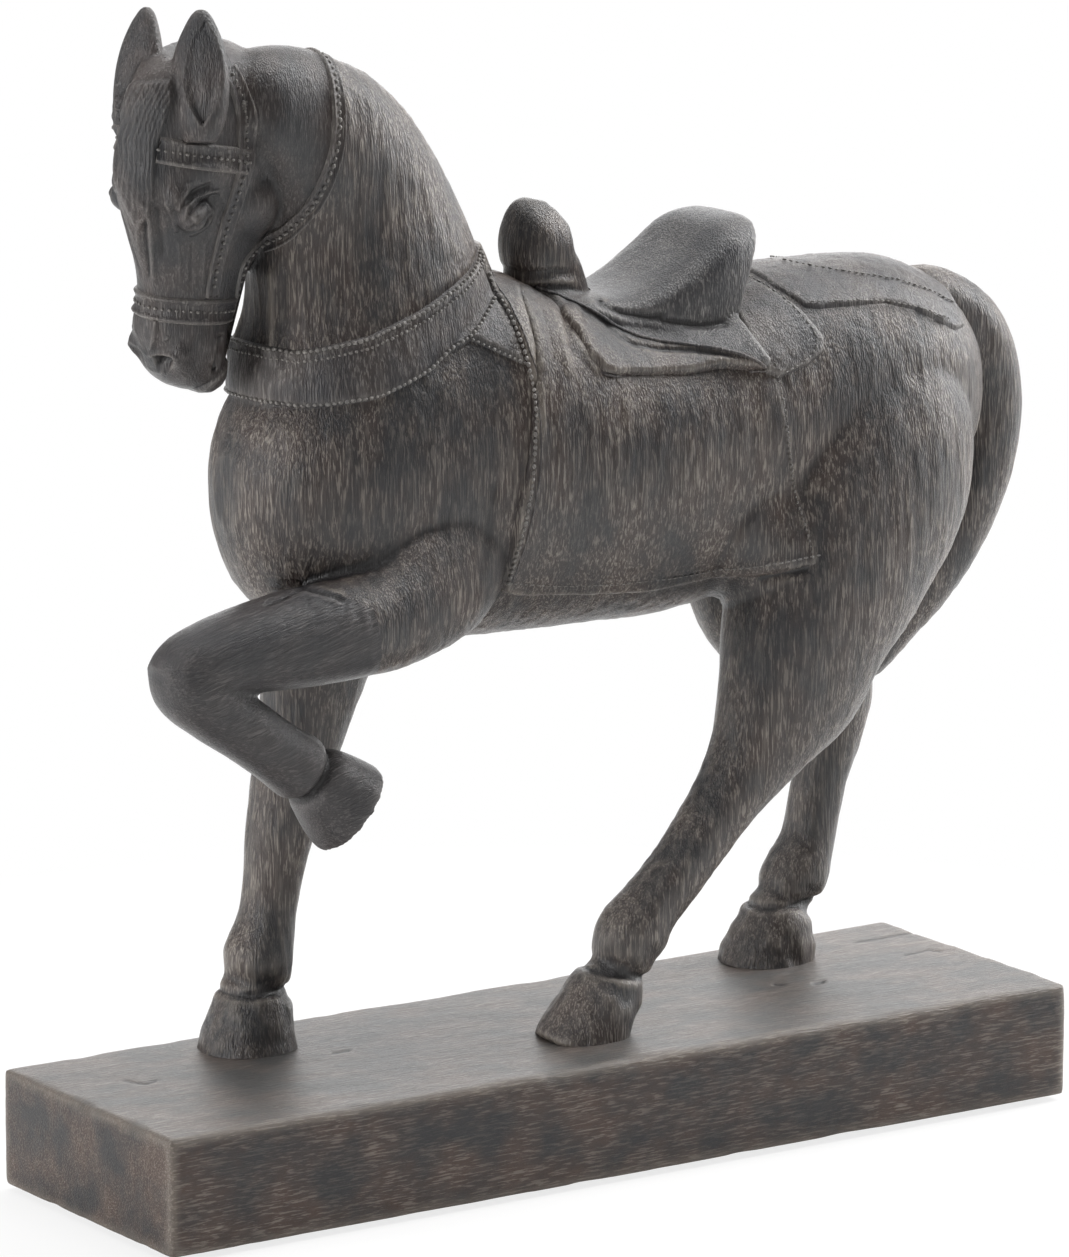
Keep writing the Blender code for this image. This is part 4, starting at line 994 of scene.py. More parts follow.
def stained_resin(
    name, dark, brown, pale, lean=(0.0, 0.0, 0.0), across=0.5, along=7.5, brushed=0.64, rough=0.36, stain=0.75
):
    """Cast polyester resin, moulded from a carved master, stained dark and dry brushed by hand: a satin skin
    with fine pale streaks along the carving, brown where the stain thinned, and dark in hollows and creases,
    where stain gathers and shade is painted in. Tops are lightened by dust and a painted sheen. Streaks
    are given in mm across and along, and lean turns them; brushed and stain are how much paint was left."""
    material, tree, shader = started(name)
    place = add(tree, "ShaderNodeTexCoord").outputs["Object"]
    spots = {}
    # Sizes in mm. The grit is drawn coarser than the real 0.1 mm, so that it shows.
    for key, size in (
        ("streaks", (across, across, along)),
        ("wisps", (across * 3.0, across * 3.0, along * 2.0)),
        ("clouds", (15.0, 15.0, 22.0)),
        ("grit", (0.3, 0.3, 0.6)),
    ):
        turned = add(
            tree, "ShaderNodeMapping",
            {"Vector": place, "Rotation": lean, "Scale": tuple(s * MM for s in size)}, vector_type="TEXTURE",
        )
        spots[key] = add(
            tree, "ShaderNodeTexNoise",
            {"Vector": turned.outputs[0], "Scale": 1.0, "Detail": 3.0, "Roughness": 0.6},
        ).outputs["Fac"]
    relief = add(tree, "ShaderNodeAttribute", attribute_name="relief").outputs["Fac"]
    hollow = add(tree, "ShaderNodeAttribute", attribute_name="hollow").outputs["Fac"]
    worn = add(
        tree, "ShaderNodeMapRange", {"Value": spots["clouds"], "From Min": 0.38, "From Max": 0.64}
    ).outputs[0]
    browned = add(tree, "ShaderNodeMath", {0: worn, 1: stain}, operation="MULTIPLY").outputs[0]
    base = add(
        tree, "ShaderNodeMix", {0: browned, 6: colour(dark), 7: colour(brown)}, data_type="RGBA"
    ).outputs[2]
    wisp_mask = add(
        tree, "ShaderNodeMapRange",
        {"Value": spots["wisps"], "From Min": 0.52, "From Max": 0.68, "To Max": 0.4 * brushed},
    ).outputs[0]
    streak_mask = add(
        tree, "ShaderNodeMapRange",
        {"Value": spots["streaks"], "From Min": 0.53, "From Max": 0.6, "To Max": brushed},
    ).outputs[0]
    ridge_mask = add(
        tree, "ShaderNodeMapRange",
        {"Value": relief, "From Min": 0.02, "From Max": 0.16, "To Max": 0.75 * brushed},
    ).outputs[0]
    share = add(tree, "ShaderNodeMapRange", {"Value": worn, "To Min": 0.25, "To Max": 1.0}).outputs[0]
    masks = add(tree, "ShaderNodeMath", {0: wisp_mask, 1: streak_mask}, operation="ADD").outputs[0]
    masks = add(tree, "ShaderNodeMath", {0: masks, 1: share}, operation="MULTIPLY").outputs[0]
    masks = add(tree, "ShaderNodeMath", {0: masks, 1: ridge_mask}, operation="ADD", use_clamp=True).outputs[0]
    brushed_over = add(
        tree, "ShaderNodeMix", {0: masks, 6: base, 7: colour(pale)}, data_type="RGBA"
    ).outputs[2]
    # Tops lightened towards the dust colour: dust, and a painted sheen
    dust_and_sheen = add(tree, "ShaderNodeAttribute", attribute_name="dust_and_sheen").outputs["Fac"]
    brushed_over = add(
        tree, "ShaderNodeMix", {0: dust_and_sheen, 6: brushed_over, 7: colour(DUST_AND_SHEEN)}, data_type="RGBA"
    ).outputs[2]
    # Hollows and creases darkened: stain that gathers there, and painted shade
    low = add(
        tree, "ShaderNodeMapRange", {"Value": hollow, "From Min": -0.05, "From Max": -0.7, "To Max": 0.85}
    ).outputs[0]
    crease = add(
        tree, "ShaderNodeMapRange", {"Value": relief, "From Min": -0.02, "From Max": -0.14, "To Max": 0.75}
    ).outputs[0]
    shade = add(tree, "ShaderNodeMath", {0: low, 1: crease}, operation="ADD", use_clamp=True).outputs[0]
    shaded = add(
        tree, "ShaderNodeMix", {0: shade, 6: brushed_over, 7: colour(HOLLOW_STAIN_AND_SHADE)}, data_type="RGBA"
    ).outputs[2]
    tree.links.new(shaded, shader.inputs["Base Color"])
    satin = add(
        tree, "ShaderNodeMapRange",
        {
            "Value": spots["grit"], "From Min": 0.3, "From Max": 0.7,
            "To Min": rough - 0.07, "To Max": rough + 0.1,
        },
    ).outputs[0]
    tree.links.new(satin, shader.inputs["Roughness"])
    cut = add(
        tree, "ShaderNodeBump", {"Height": spots["streaks"], "Strength": 1.0, "Distance": STREAK_DEPTH * MM}
    )
    fine = add(
        tree, "ShaderNodeBump",
        {"Height": spots["grit"], "Normal": cut.outputs[0], "Strength": 0.7, "Distance": GRIT_DEPTH * MM},
    )
    tree.links.new(fine.outputs[0], shader.inputs["Normal"])
    shader.inputs["IOR"].default_value = 1.52
    return material


def rubber(name):
    """Moulded polyurethane bumper, stained over with the block: a dark, slightly cloudy dome."""
    material, tree, shader = started(name)
    place = add(tree, "ShaderNodeTexCoord").outputs["Object"]
    cloud = add(
        tree, "ShaderNodeTexNoise", {"Vector": place, "Scale": 0.9 / MM, "Detail": 2.0}
    ).outputs["Fac"]
    tint = add(
        tree, "ShaderNodeMix", {0: cloud, 6: colour("#2f2c2b"), 7: colour("#45403c")}, data_type="RGBA"
    ).outputs[2]
    tree.links.new(tint, shader.inputs["Base Color"])
    grain = add(tree, "ShaderNodeBump", {"Height": cloud, "Strength": 0.2, "Distance": 0.05 * MM})
    tree.links.new(grain.outputs[0], shader.inputs["Normal"])
    shader.inputs["Roughness"].default_value = 0.5
    shader.inputs["IOR"].default_value = 1.5
    return material


def drawn_steel(name):
    """Drawn steel rod, as cut for pins and dowels: grey with fine lines along its length."""
    material, tree, shader = started(name)
    place = add(tree, "ShaderNodeTexCoord").outputs["Object"]
    lines = add(
        tree, "ShaderNodeMapping", {"Vector": place, "Scale": (0.2 * MM, 0.2 * MM, 6.0 * MM)},
        vector_type="TEXTURE",
    ).outputs[0]
    drawn = add(tree, "ShaderNodeTexNoise", {"Vector": lines, "Scale": 1.0, "Detail": 2.0}).outputs["Fac"]
    tint = add(
        tree, "ShaderNodeMix", {0: drawn, 6: colour("#8b8c8e"), 7: colour("#b4b5b6")}, data_type="RGBA"
    ).outputs[2]
    tree.links.new(tint, shader.inputs["Base Color"])
    rough = add(tree, "ShaderNodeMapRange", {"Value": drawn, "To Min": 0.26, "To Max": 0.42}).outputs[0]
    tree.links.new(rough, shader.inputs["Roughness"])
    shader.inputs["Metallic"].default_value = 1.0
    return material


# Rows of beads and stitches, and raised welts, follow a line with Geometry Nodes


def line_tree(name, sizes):
    """A node tree with the named sizes and a finish as inputs, and even places along its line."""
    tree = bpy.data.node_groups.new(name, "GeometryNodeTree")
    face = tree.interface
    face.new_socket("Line", in_out="INPUT", socket_type="NodeSocketGeometry")
    kinds = dict.fromkeys(sizes, "NodeSocketFloat") | {"Finish": "NodeSocketMaterial"}
    keys = {}
    for label, kind in kinds.items():
        keys[label] = face.new_socket(label, in_out="INPUT", socket_type=kind).identifier
    face.new_socket("Made", in_out="OUTPUT", socket_type="NodeSocketGeometry")
    given = add(tree, "NodeGroupInput").outputs
    line = add(tree, "GeometryNodeMeshToCurve", {"Mesh": given["Line"]}).outputs[0]
    places = add(
        tree, "GeometryNodeResampleCurve", {"Curve": line, "Length": given["Spacing"]}, mode="LENGTH"
    ).outputs[0]
    return tree, keys, given, places


def finished_tree(tree, shape, finish):
    """Ends the tree with a real, smooth mesh in its finish."""
    real = add(tree, "GeometryNodeRealizeInstances", {"Geometry": shape}).outputs[0]
    soft = add(tree, "GeometryNodeSetShadeSmooth", {"Geometry": real}).outputs[0]
    done = add(tree, "GeometryNodeSetMaterial", {"Geometry": soft, "Material": finish}).outputs[0]
    add(tree, "NodeGroupOutput", {0: done})


def bead_tree():
    """Beads or stitches set evenly along a line, each a little different in size."""
    tree, keys, given, places = line_tree("bead_row", ("Spacing", "Radius", "Stretch", "Unevenness"))
    tangent = add(tree, "GeometryNodeInputTangent").outputs[0]
    ways = add(tree, "FunctionNodeAlignRotationToVector", {"Vector": tangent}, axis="Z").outputs[0]
    low = add(tree, "ShaderNodeMath", {0: 1.0, 1: given["Unevenness"]}, operation="SUBTRACT").outputs[0]
    high = add(tree, "ShaderNodeMath", {0: 1.0, 1: given["Unevenness"]}, operation="ADD").outputs[0]
    spread = add(
        tree, "FunctionNodeRandomValue", {"Min": low, "Max": high, "Seed": 7}, data_type="FLOAT"
    ).outputs[1]
    size = add(tree, "ShaderNodeMath", {0: spread, 1: given["Radius"]}, operation="MULTIPLY").outputs[0]
    length = add(tree, "ShaderNodeMath", {0: size, 1: given["Stretch"]}, operation="MULTIPLY").outputs[0]
    scale = add(tree, "ShaderNodeCombineXYZ", {0: size, 1: size, 2: length}).outputs[0]
    bead = add(tree, "GeometryNodeMeshUVSphere", {"Segments": 8, "Rings": 5, "Radius": 1.0}).outputs[0]
    beads = add(
        tree, "GeometryNodeInstanceOnPoints",
        {"Points": places, "Instance": bead, "Rotation": ways, "Scale": scale},
    ).outputs[0]
    finished_tree(tree, beads, given["Finish"])
    return tree, keys


def welt_tree():
    """A raised round cord along a line, uneven in thickness."""
    tree, keys, given, places = line_tree("welt", ("Spacing", "Radius", "Unevenness"))
    low = add(tree, "ShaderNodeMath", {0: 1.0, 1: given["Unevenness"]}, operation="SUBTRACT").outputs[0]
    spread = add(
        tree, "FunctionNodeRandomValue", {"Min": low, "Max": 1.0, "Seed": 3}, data_type="FLOAT"
    ).outputs[1]
    thick = add(tree, "ShaderNodeMath", {0: spread, 1: given["Radius"]}, operation="MULTIPLY").outputs[0]
    round_line = add(tree, "GeometryNodeCurvePrimitiveCircle", {"Resolution": 8, "Radius": 1.0}).outputs[0]
    cord = add(
        tree, "GeometryNodeCurveToMesh",
        {"Curve": places, "Profile Curve": round_line, "Scale": thick, "Fill Caps": True},
    ).outputs[0]
    finished_tree(tree, cord, given["Finish"])
    return tree, keys


def along_lines(name, tree_and_keys, lines, settings, slot_name):
    """A piece that a node tree makes along the given lines of points in mm."""
    tree, keys = tree_and_keys
    points, edges = [], []
    for line in lines:
        closed = np.allclose(line[0], line[-1])
        ring = line[:-1] if closed else line
        start = len(points)
        points += ((ring + (0.0, 0.0, BLOCK_TOP)) * MM).tolist()
        edges += [(start + i, start + i + 1) for i in range(len(ring) - 1)]
        if closed:
            edges.append((start + len(ring) - 1, start))
    data = bpy.data.meshes.new(name)
    data.from_pydata(points, edges, [])
    obj = linked(name, data)
    modifier = obj.modifiers.new("row", "NODES")
    modifier.node_group = tree
    for label, value in settings.items():
        modifier[keys[label]] = value
    made = evaluated(obj)
    made.name = name
    return dress(linked(name, made), slot_name)


# Sculpting the statue


def head_shapes():
    """The rounded shapes of the head without its ears, in the statue's frame."""
    shapes = [loft(HEAD, squareness=2.0, facing=(0.0, 0.0, -1.0))]
    for x, off_centre, z, radius in HEAD_BULGES:
        shapes += [ball((x, -off_centre, z), radius), ball((x, off_centre, z), radius)]
    return [(from_head(points), tris) for points, tris in shapes]


def brush_paint(skin):
    """Fine ridges, which the dry brush follows, and creases and broad hollows, which stain and painted shade
    darken.
    """
    return {"relief": skin.softened(skin.standing_out(4), 1), "hollow": skin.standing_out(60)}


def chiselled(skin, depth):
    """Long shallow marks of the carver's gouge, running down the figure."""
    gouge = noise(skin.points, (2.0, 2.0, 12.0), 1)
    gouge += 0.7 * noise(skin.points, (1.2, 1.2, 6.0), 2)
    gouge += 1.2 * noise(skin.points, (9.0, 9.0, 26.0), 3)
    skin.press(depth * gouge)


def flat_footed(skin, height=0.1):
    """The skin with its hooves cut flat just above the block, and open there."""
    low = skin.points[:, 2] < height
    keep = ~low[skin.tris].all(axis=1)
    points = skin.points.copy()
    points[low, 2] = height
    return Skin(points, skin.tris[keep])


def sculpt_horse():
    """The whole horse as one skin; its head is here only to shape the neck behind it."""
    shapes = [loft(TRUNK, facing=(1.0, 0.0, 0.0))]
    shapes += [
        loft(rows)
        for rows in (NECK, LEFT_HIND_LEG, RIGHT_HIND_LEG, RIGHT_FORELEG, RAISED_FOREARM, RAISED_CANNON)
    ]
    shapes += [ball(centre, radius) for centre, radius in FLANK_FILL]
    horse = flat_footed(skin_over(shapes + head_shapes(), HORSE_GRAIN, HORSE_SOFTENING))
    back = view_axes()[0]
    left, facing = folded(horse.points, horse.normals, CENTRE_Y)
    seen_side = smooth_step(facing @ back, -0.05, 0.3)
    places = seen(left)
    calm = smooth_step(within(places, FLANK), 0.0, 14.0) * seen_side
    horse.points += (horse.softened(horse.points, 60) - horse.points) * calm[:, None]
    horse.face()
    raised = smooth_step(within(side_view(horse.points), RAISED_LEG_SIDE), 0.0, 8.0)
    chiselled(horse, GOUGED - LESS_GOUGED * raised * (horse.points[:, 1] < 0.0))
    change = stroked(places, TRUNK_STROKES, seen_side)
    change += stroked(seen(horse.points), LEFT_STROKES, smooth_step(horse.normals @ back, -0.3, 0.2))
    low = smooth_step(horse.points[:, 2], LUMPS_END, LUMPS_FULL)
    change += HOOF_LUMPS * noise(horse.points, (5.0, 5.0, 4.0), 21) * low
    for path, middle in CORONETS:
        own_leg = smooth_step(np.abs(horse.points[:, 1] - middle), 17.0, 14.0)
        side = side_view(horse.points)
        change += stroke(side, path, CORONET_HALF_WIDTH, -CORONET_DEPTH, own_leg, taper=0.0)
    horse.press(change)
    return horse


def ear_places():
    """Each ear's name, its root, the turn that stands it up, and how its hollow lies."""
    for name, (root, turn, off_centre, depth) in EARS.items():
        stand = Matrix.Rotation(math.radians(turn), 3, "Z") @ Matrix.Rotation(math.radians(EAR_TILT), 3, "Y")
        yield name, np.array(root), np.array(stand), off_centre, depth


def carve_ears(head):
    """Hollows the front of each ear, widest at a third of its height and shallow towards its tip."""
    for _, root, stand, off_centre, depth in ear_places():
        own = (head.points - root) @ stand
        front = smooth_step(-(head.normals @ stand)[:, 0], 0.05, 0.5)
        half = np.interp(own[:, 2], *EAR_HOLLOW_HALF)
        near = (np.abs(own[:, :2]) < 10.0).all(axis=1) & (own[:, 2] > 3.0) & (own[:, 2] < 31.0)
        inside = (1.0 - (np.abs(own[:, 1] - off_centre) / np.maximum(half, 0.1)) ** 2) * near
        deep = depth * np.interp(own[:, 2], *EAR_HOLLOW_DEPTH)
        head.press(-deep * smooth_step(inside, 0.0, 0.85) * front)


def forelock(head, local):
    """How far the forelock's locks stand off the brow at each point of the head."""
    places = seen(head.points)
    front = smooth_step(head.normals @ view_axes()[0], -0.1, 0.25) * smooth_step(local[:, 2], 3.0, -2.0)
    hair = smooth_step(within(places, FORELOCK), 0.0, 7.0) * front
    across, _, side = path_distance(places, FORELOCK_LINE)
    locks = np.sin(across * side * 2 * np.pi / FORELOCK_PITCH + 3.4 * noise(local, (4.0, 4.0, 9.0), 5))
    locks += 0.9 * noise(local, (1.1, 1.1, 7.0), 6)
    return hair * (0.9 + 0.15 * locks)


def sculpt_head():
    """The head and ears as one finer skin, with its face, forelock and the hollows of its ears."""
    plain = skin_over([loft(NECK[:HEAD_NECK_RINGS])] + head_shapes(), HEAD_GRAIN, HEAD_SOFTENING)
    ears = []
    for _, root, stand, _, _ in ear_places():
        points, tris = loft(EAR)
        ears.append((points @ stand.T + root, tris))
    head = skin_over([(plain.points, plain.tris), *ears], HEAD_GRAIN, EAR_SOFTENING)
    local = to_head(head.points)
    left, facing = folded(local, head.normals @ head_turn(), 0.0)
    hold = smooth_step(facing @ head_turn().T @ view_axes()[0], -0.05, 0.3)
    hold *= np.where(local[:, 1] > 0.0, FAR_FACE, 1.0)
    head.press(stroked(seen(from_head(left)), FACE_STROKES, hold) + forelock(head, local))
    carve_ears(head)
    chiselled(head, FINELY_GOUGED)
    return head


def seat_shape():
    """The seat, with the back of its cantle cut flat and leaning forward at its foot."""
    points, tris = loft(SEAT, squareness=4.0, facing=(1.0, 0.0, 0.0))
    back = CANTLE_BACK[0] + CANTLE_LEAN * (points[:, 2] - CANTLE_BACK[1])
    points[:, 0] = np.minimum(points[:, 0], back)
    return points, tris


def sculpt_saddle(horse):
    """Seat, pommel and skirts as one skin, lying on the horse."""
    inside = within(side_view(horse.points), SADDLE_OUTLINE)
    rise = -0.5 + 3.9 * smooth_step(inside, -0.4, 1.6)
    skirts = outward(*layer(horse, inside + 1.0, rise))
    saddle = skin_over([skirts, seat_shape(), loft(POMMEL)], SADDLE_GRAIN, SADDLE_SOFTENING)
    left, facing = folded(saddle.points, saddle.normals, CENTRE_Y)
    saddle.press(stroked(seen(left), SADDLE_STROKES, smooth_step(facing @ view_axes()[0], -0.2, 0.2)))
    chiselled(saddle, FINELY_GOUGED)
    return saddle


# Pieces cut from the sculpted skins, and laid on them


def cast_horse(horse, looks):
    """The horse without its head, divided where the statue's castings meet."""
    inside = within(side_view(horse.points), HEAD_SIDE)
    horse.press(-SEAM_DEPTH * smooth_step(inside, -0.9, 0.2))
    paint = brush_paint(horse)
    centres = horse.points[horse.tris].mean(axis=1)
    side = side_view(centres)
    x, y, z = centres.T
    off_head = within(side, HEAD_SIDE) < SEAM_OVERLAP
    raised = (within(side, RAISED_LEG_SIDE) > 0) & (y < RAISED_LEG_FROM)
    front, back = STANDING_LEG
    standing = (x > front) & (x < back) & (z < FORELEG_CUT) & (y > CENTRE_Y) & ~raised
    hind = (x > back) & (z < THIGH_CUT) & ~raised & ~standing
    trunk = off_head & ~raised & ~standing & ~hind
    for name, keep, node, look in (
        ("raised_foreleg_casting", raised, "raised_foreleg", "leg"),
        ("standing_foreleg_casting", standing, "standing_foreleg", "horse"),
        ("left_hind_casting", hind & (y < CENTRE_Y), "left_hind_leg", "horse"),
        ("right_hind_casting", hind & (y >= CENTRE_Y), "right_hind_leg", "horse"),
        ("forehand_casting", trunk & (x < MIDDLE_CUT), "body", "horse"),
        ("quarters_casting", trunk & (x >= MIDDLE_CUT), "body", "horse"),
    ):
        cast(name, horse, keep, paint, looks[look], "body", node)


def cast_head(head, looks):
    """The head and its two ears."""
    inside = within(side_view(head.points), HEAD_SIDE)
    head.press(-SEAM_DEPTH * smooth_step(-inside, -0.9, 0.2))
    paint = brush_paint(head)
    centres = head.points[head.tris].mean(axis=1)
    face = within(side_view(centres), HEAD_SIDE) > -SEAM_OVERLAP
    for name, root, stand, _, _ in ear_places():
        own = (centres - root) @ stand
        ear = (own[:, 2] > 4.0) & (np.abs(own[:, :2]) < 9.6).all(axis=1) & face
        face &= ~ear
        cast(name + "_casting", head, ear, paint, looks["head"], "head", name)
    cast("head_casting", head, face, paint, looks["head"], "head", "head")


def build_tail(looks):
    """The tail, which is a casting of its own."""
    points, tris = loft(TAIL, sides=150, steps=22)
    tail = Skin(points, tris)
    chiselled(tail, TAIL_GOUGED)
    piece("tail_casting", tail.points, tail.tris, looks["horse"], "tail", ("tail",), paint=brush_paint(tail))


def tree_of(skin):
    """What finds the nearest place on a skin."""
    return BVHTree.FromPolygons(skin.points.tolist(), skin.tris.tolist())


def settled(skin, finder, points, height):
    """The points dropped onto the skin and raised off it by the given height."""
    made = []
    for point in points:
        spot, _, index, _ = finder.find_nearest(point.tolist())
        made.append(np.array(spot) + unit(skin.normals[skin.tris[index]].mean(axis=0)) * height)
    return np.array(made)


def strap(skin, finder, line, half_width, thickness, sink=0.4):
    """A flat strap with rolled edges, lying on the skin along a line."""
    closed = np.allclose(line[0], line[-1])
    ring = line[:-1] if closed else line
    if closed:
        ways = unit(np.roll(ring, -1, axis=0) - np.roll(ring, 1, axis=0))
    else:
        ways = unit(np.gradient(ring, axis=0))
    # Half of the strap's section, from its sunken edge over the rolled rim towards its flat middle
    section = [(STRAP_EDGE, -sink)] + [(share, height * thickness) for share, height in STRAP_RIM]
    middle = (0.0, STRAP_MIDDLE * thickness)
    profile = [(-share, height) for share, height in section] + [middle] + section[::-1]
    rings = []
    for place, way, half in zip(ring, ways, np.broadcast_to(half_width, len(ring))):
        _, _, index, _ = finder.find_nearest(place.tolist())
        face = unit(skin.normals[skin.tris[index]].mean(axis=0))
        across = unit(np.cross(way, face))
        made = []
        for share, height in profile:
            spot, _, index, _ = finder.find_nearest((place + across * (share * half)).tolist())
            local = unit(skin.normals[skin.tris[index]].mean(axis=0) + face)
            made.append(np.array(spot) + local * height)
        rings.append(made)
    rings = np.array(rings)
    if not closed:
        return closed_tube(rings)
    count, sides = rings.shape[:2]
    index = np.arange(count * sides).reshape(count, sides)
    a, b = index, np.roll(index, -1, axis=1)
    c, d = np.roll(b, -1, axis=0), np.roll(index, -1, axis=0)
    tris = np.concatenate([np.stack([a, b, c], -1).reshape(-1, 3), np.stack([a, c, d], -1).reshape(-1, 3)])
    return outward(rings.reshape(-1, 3), tris)


def side_field(places, path):
    """Distance from a path in a plane, less than nothing to its right."""
    distance, _, side = path_distance(places, path)
    return distance * side


def run_of(chain, keep):
    """The longest unbroken run of kept points in a chain."""
    if keep.all():
        return chain
    closed = np.allclose(chain[0], chain[-1])
    ring = chain[:-1] if closed else chain
    keep = keep[: len(ring)]
    if closed:
        start = int(np.argmin(keep))
        ring, keep = np.roll(ring, -start, axis=0), np.roll(keep, -start)
    best, begin = (0, 0), None
    for i, flag in enumerate([*keep.tolist(), False]):
        if flag and begin is None:
            begin = i
        if not flag and begin is not None:
            if i - begin > best[1] - best[0]:
                best = (begin, i)
            begin = None
    return ring[best[0] : best[1]]


def dropped(finder, line, side, in_head=False):
    """A side view line laid on the skin from the left, where side is -1, or from the right, where it is 1."""
    points = []
    for x, z in even_path(np.array(line, float), LINE_STEP, rounds=2):
        middle = (x, 0.0 if in_head else CENTRE_Y, z)
        outside = (x, middle[1] + side * FAR_OUT, z)
        if in_head:
            middle, outside = from_head(middle), from_head(outside)
        spot = finder.ray_cast(Vector(outside), Vector(middle) - Vector(outside))[0]
        if spot is not None:
            points.append(np.array(spot))
    return even_path(points, LINE_STEP, rounds=4)


def flat_layer(name, skin, outline, thickness, look, slot_name, hold=None):
    """A layer of the harness cut to an outline in side view, and to where hold is above nothing."""
    inside = within(side_view(skin.points), outline)
    if hold is not None:
        inside = np.minimum(inside, hold)
    rise = -0.5 + (thickness + 0.5) * smooth_step(inside, -0.5, 1.3)
    cloth = Skin(*outward(*layer(skin, inside + 0.9, rise)))
    paint = brush_paint(cloth)
    paint["relief"] = 0.5 * paint["relief"]
    piece(name, cloth.points, cloth.tris, look, slot_name, (slot_name,), paint=paint)


def strap_piece(name, skin, finder, line, half_width, thickness, look, slot_name):
    """A strap as a piece, brushed along its rolled edges."""
    band = Skin(*strap(skin, finder, line, half_width, thickness))
    relief = 0.4 * brush_paint(band)["relief"]
    piece(name, band.points, band.tris, look, slot_name, (slot_name,), paint={"relief": relief})


def build_saddle(saddle, looks):
    """The saddle's skin divided into its pommel, seat and skirts."""
    centres = saddle.points[saddle.tris].mean(axis=1)
    x, y, z = centres.T
    _, _, side = path_distance(side_view(centres), SKIRT_TOP)
    knob = (z > KNOB_FOOT) & (x < KNOB_BACK)
    above = (side > 0) | (x > SKIRT_BACK) | (x < SKIRT_FRONT)
    skirts = ~above & ~knob
    paint = brush_paint(saddle)
    for name, keep, node, look in (
        ("pommel_knob", knob, "saddle_pommel", "horse"),
        ("seat_leather", above & ~knob, "saddle_seat", "seat"),
        ("left_skirt_leather", skirts & (y < CENTRE_Y), "left_skirt", "cloth"),
        ("right_skirt_leather", skirts & (y >= CENTRE_Y), "right_skirt", "cloth"),
    ):
        cast(name, saddle, keep, paint, looks[look], node, node)


def build_harness(horse, looks):
    """Blanket, collar, crupper and rear flaps, which lie on the trunk."""
    x, y, _ = horse.points.T
    cloth = BLANKET_THICKNESS - BLANKET_THINNING * smooth_step(x, *BLANKET_THINS)
    flat_layer("saddle_cloth", horse, BLANKET_OUTLINE, cloth, looks["cloth"], "saddle_blanket")
    flat_layer("collar_band", horse, COLLAR_OUTLINE, COLLAR_THICKNESS, looks["strap"], "breast_collar")
    flat_layer("crupper_band", horse, CRUPPER_OUTLINE, CRUPPER_THICKNESS, looks["strap"], "crupper")
    for side, off_middle in (("left", CENTRE_Y - y), ("right", y - CENTRE_Y)):
        slot_name = side + "_rear_flap"
        hold = off_middle - CRUPPER_HALF
        look = looks["strap"]
        flat_layer(side + "_flap", horse, REAR_FLAP_OUTLINE, FLAP_THICKNESS, look, slot_name, hold)


def build_bridle(head, finder, looks):
    """The straps of the bridle; gives the rows of beads on them: slot, line and height."""
    look = looks["strap"]
    side = to_head(head.points)[:, [0, 2]]
    loop = level_lines(head, within(side_view(head.points), HEAD_SIDE))[0]
    neck_line = even_path(loop, LINE_STEP, rounds=30)
    strap_piece("neck_strap_band", head, finder, neck_line, *NECK_STRAP, look, "neck_strap")

    loops = [chain for chain in level_lines(head, side_field(side, NOSEBAND_LINE)) if len(chain) > 60]
    foremost = min(loops, key=lambda chain: to_head(chain)[:, 0].mean())
    nose_line = even_path(foremost, FINE_STEP, rounds=20)
    strap_piece("noseband_strap", head, finder, nose_line, *NOSEBAND, look, "noseband")
    rows = [("neck_strap", neck_line, 0.45), ("noseband", nose_line, 0.55)]

    brow_chains = level_lines(head, side_field(side, BROWBAND_LINE))
    for name, sign in (("left", -1), ("right", 1)):
        runs = []
        for chain in brow_chains:
            own = to_head(chain)
            left = from_head(np.column_stack([own[:, 0], -np.abs(own[:, 1]), own[:, 2]]))
            keep = (own[:, 0] < 30.0) & (own[:, 1] * sign > 0) & (seen(left)[:, 0] > BROWBAND_END)
            runs.append(run_of(chain, keep))
        line = even_path(max(runs, key=len), FINE_STEP)
        strap_piece(name + "_browband_strap", head, finder, line, *BROWBAND, look, "browband")
        rows.append(("browband", line, 0.45))

    for name, sign in (("left", -1), ("right", 1)):
        line = dropped(finder, CHEEK_LINE, sign, in_head=True)
        widths = np.interp(np.linspace(0, 1, len(line)), [0.0, 0.35, 0.6, 1.0], [3.0, 3.0, 2.5, 2.2])
        slot_name = name + "_cheek_strap"
        sizes = (widths, CHEEK_STRAP_THICKNESS)
        strap_piece(name + "_cheekpiece", head, finder, line, *sizes, look, slot_name)
        rows.append((slot_name, line[2:-4], 0.45))
    return rows


def round_neck(horse, finder, path, height):
    """The line round the front of the neck along a side view path, from one blanket edge to the other."""
    runs = []
    for chain in level_lines(horse, side_field(side_view(horse.points), path)):
        x, _, z = chain.T
        runs.append(run_of(chain, (x < COLLAR_BACK) & (z > COLLAR_LOW) & (z < COLLAR_HIGH)))
    return settled(horse, finder, even_path(max(runs, key=len), LINE_STEP), height)


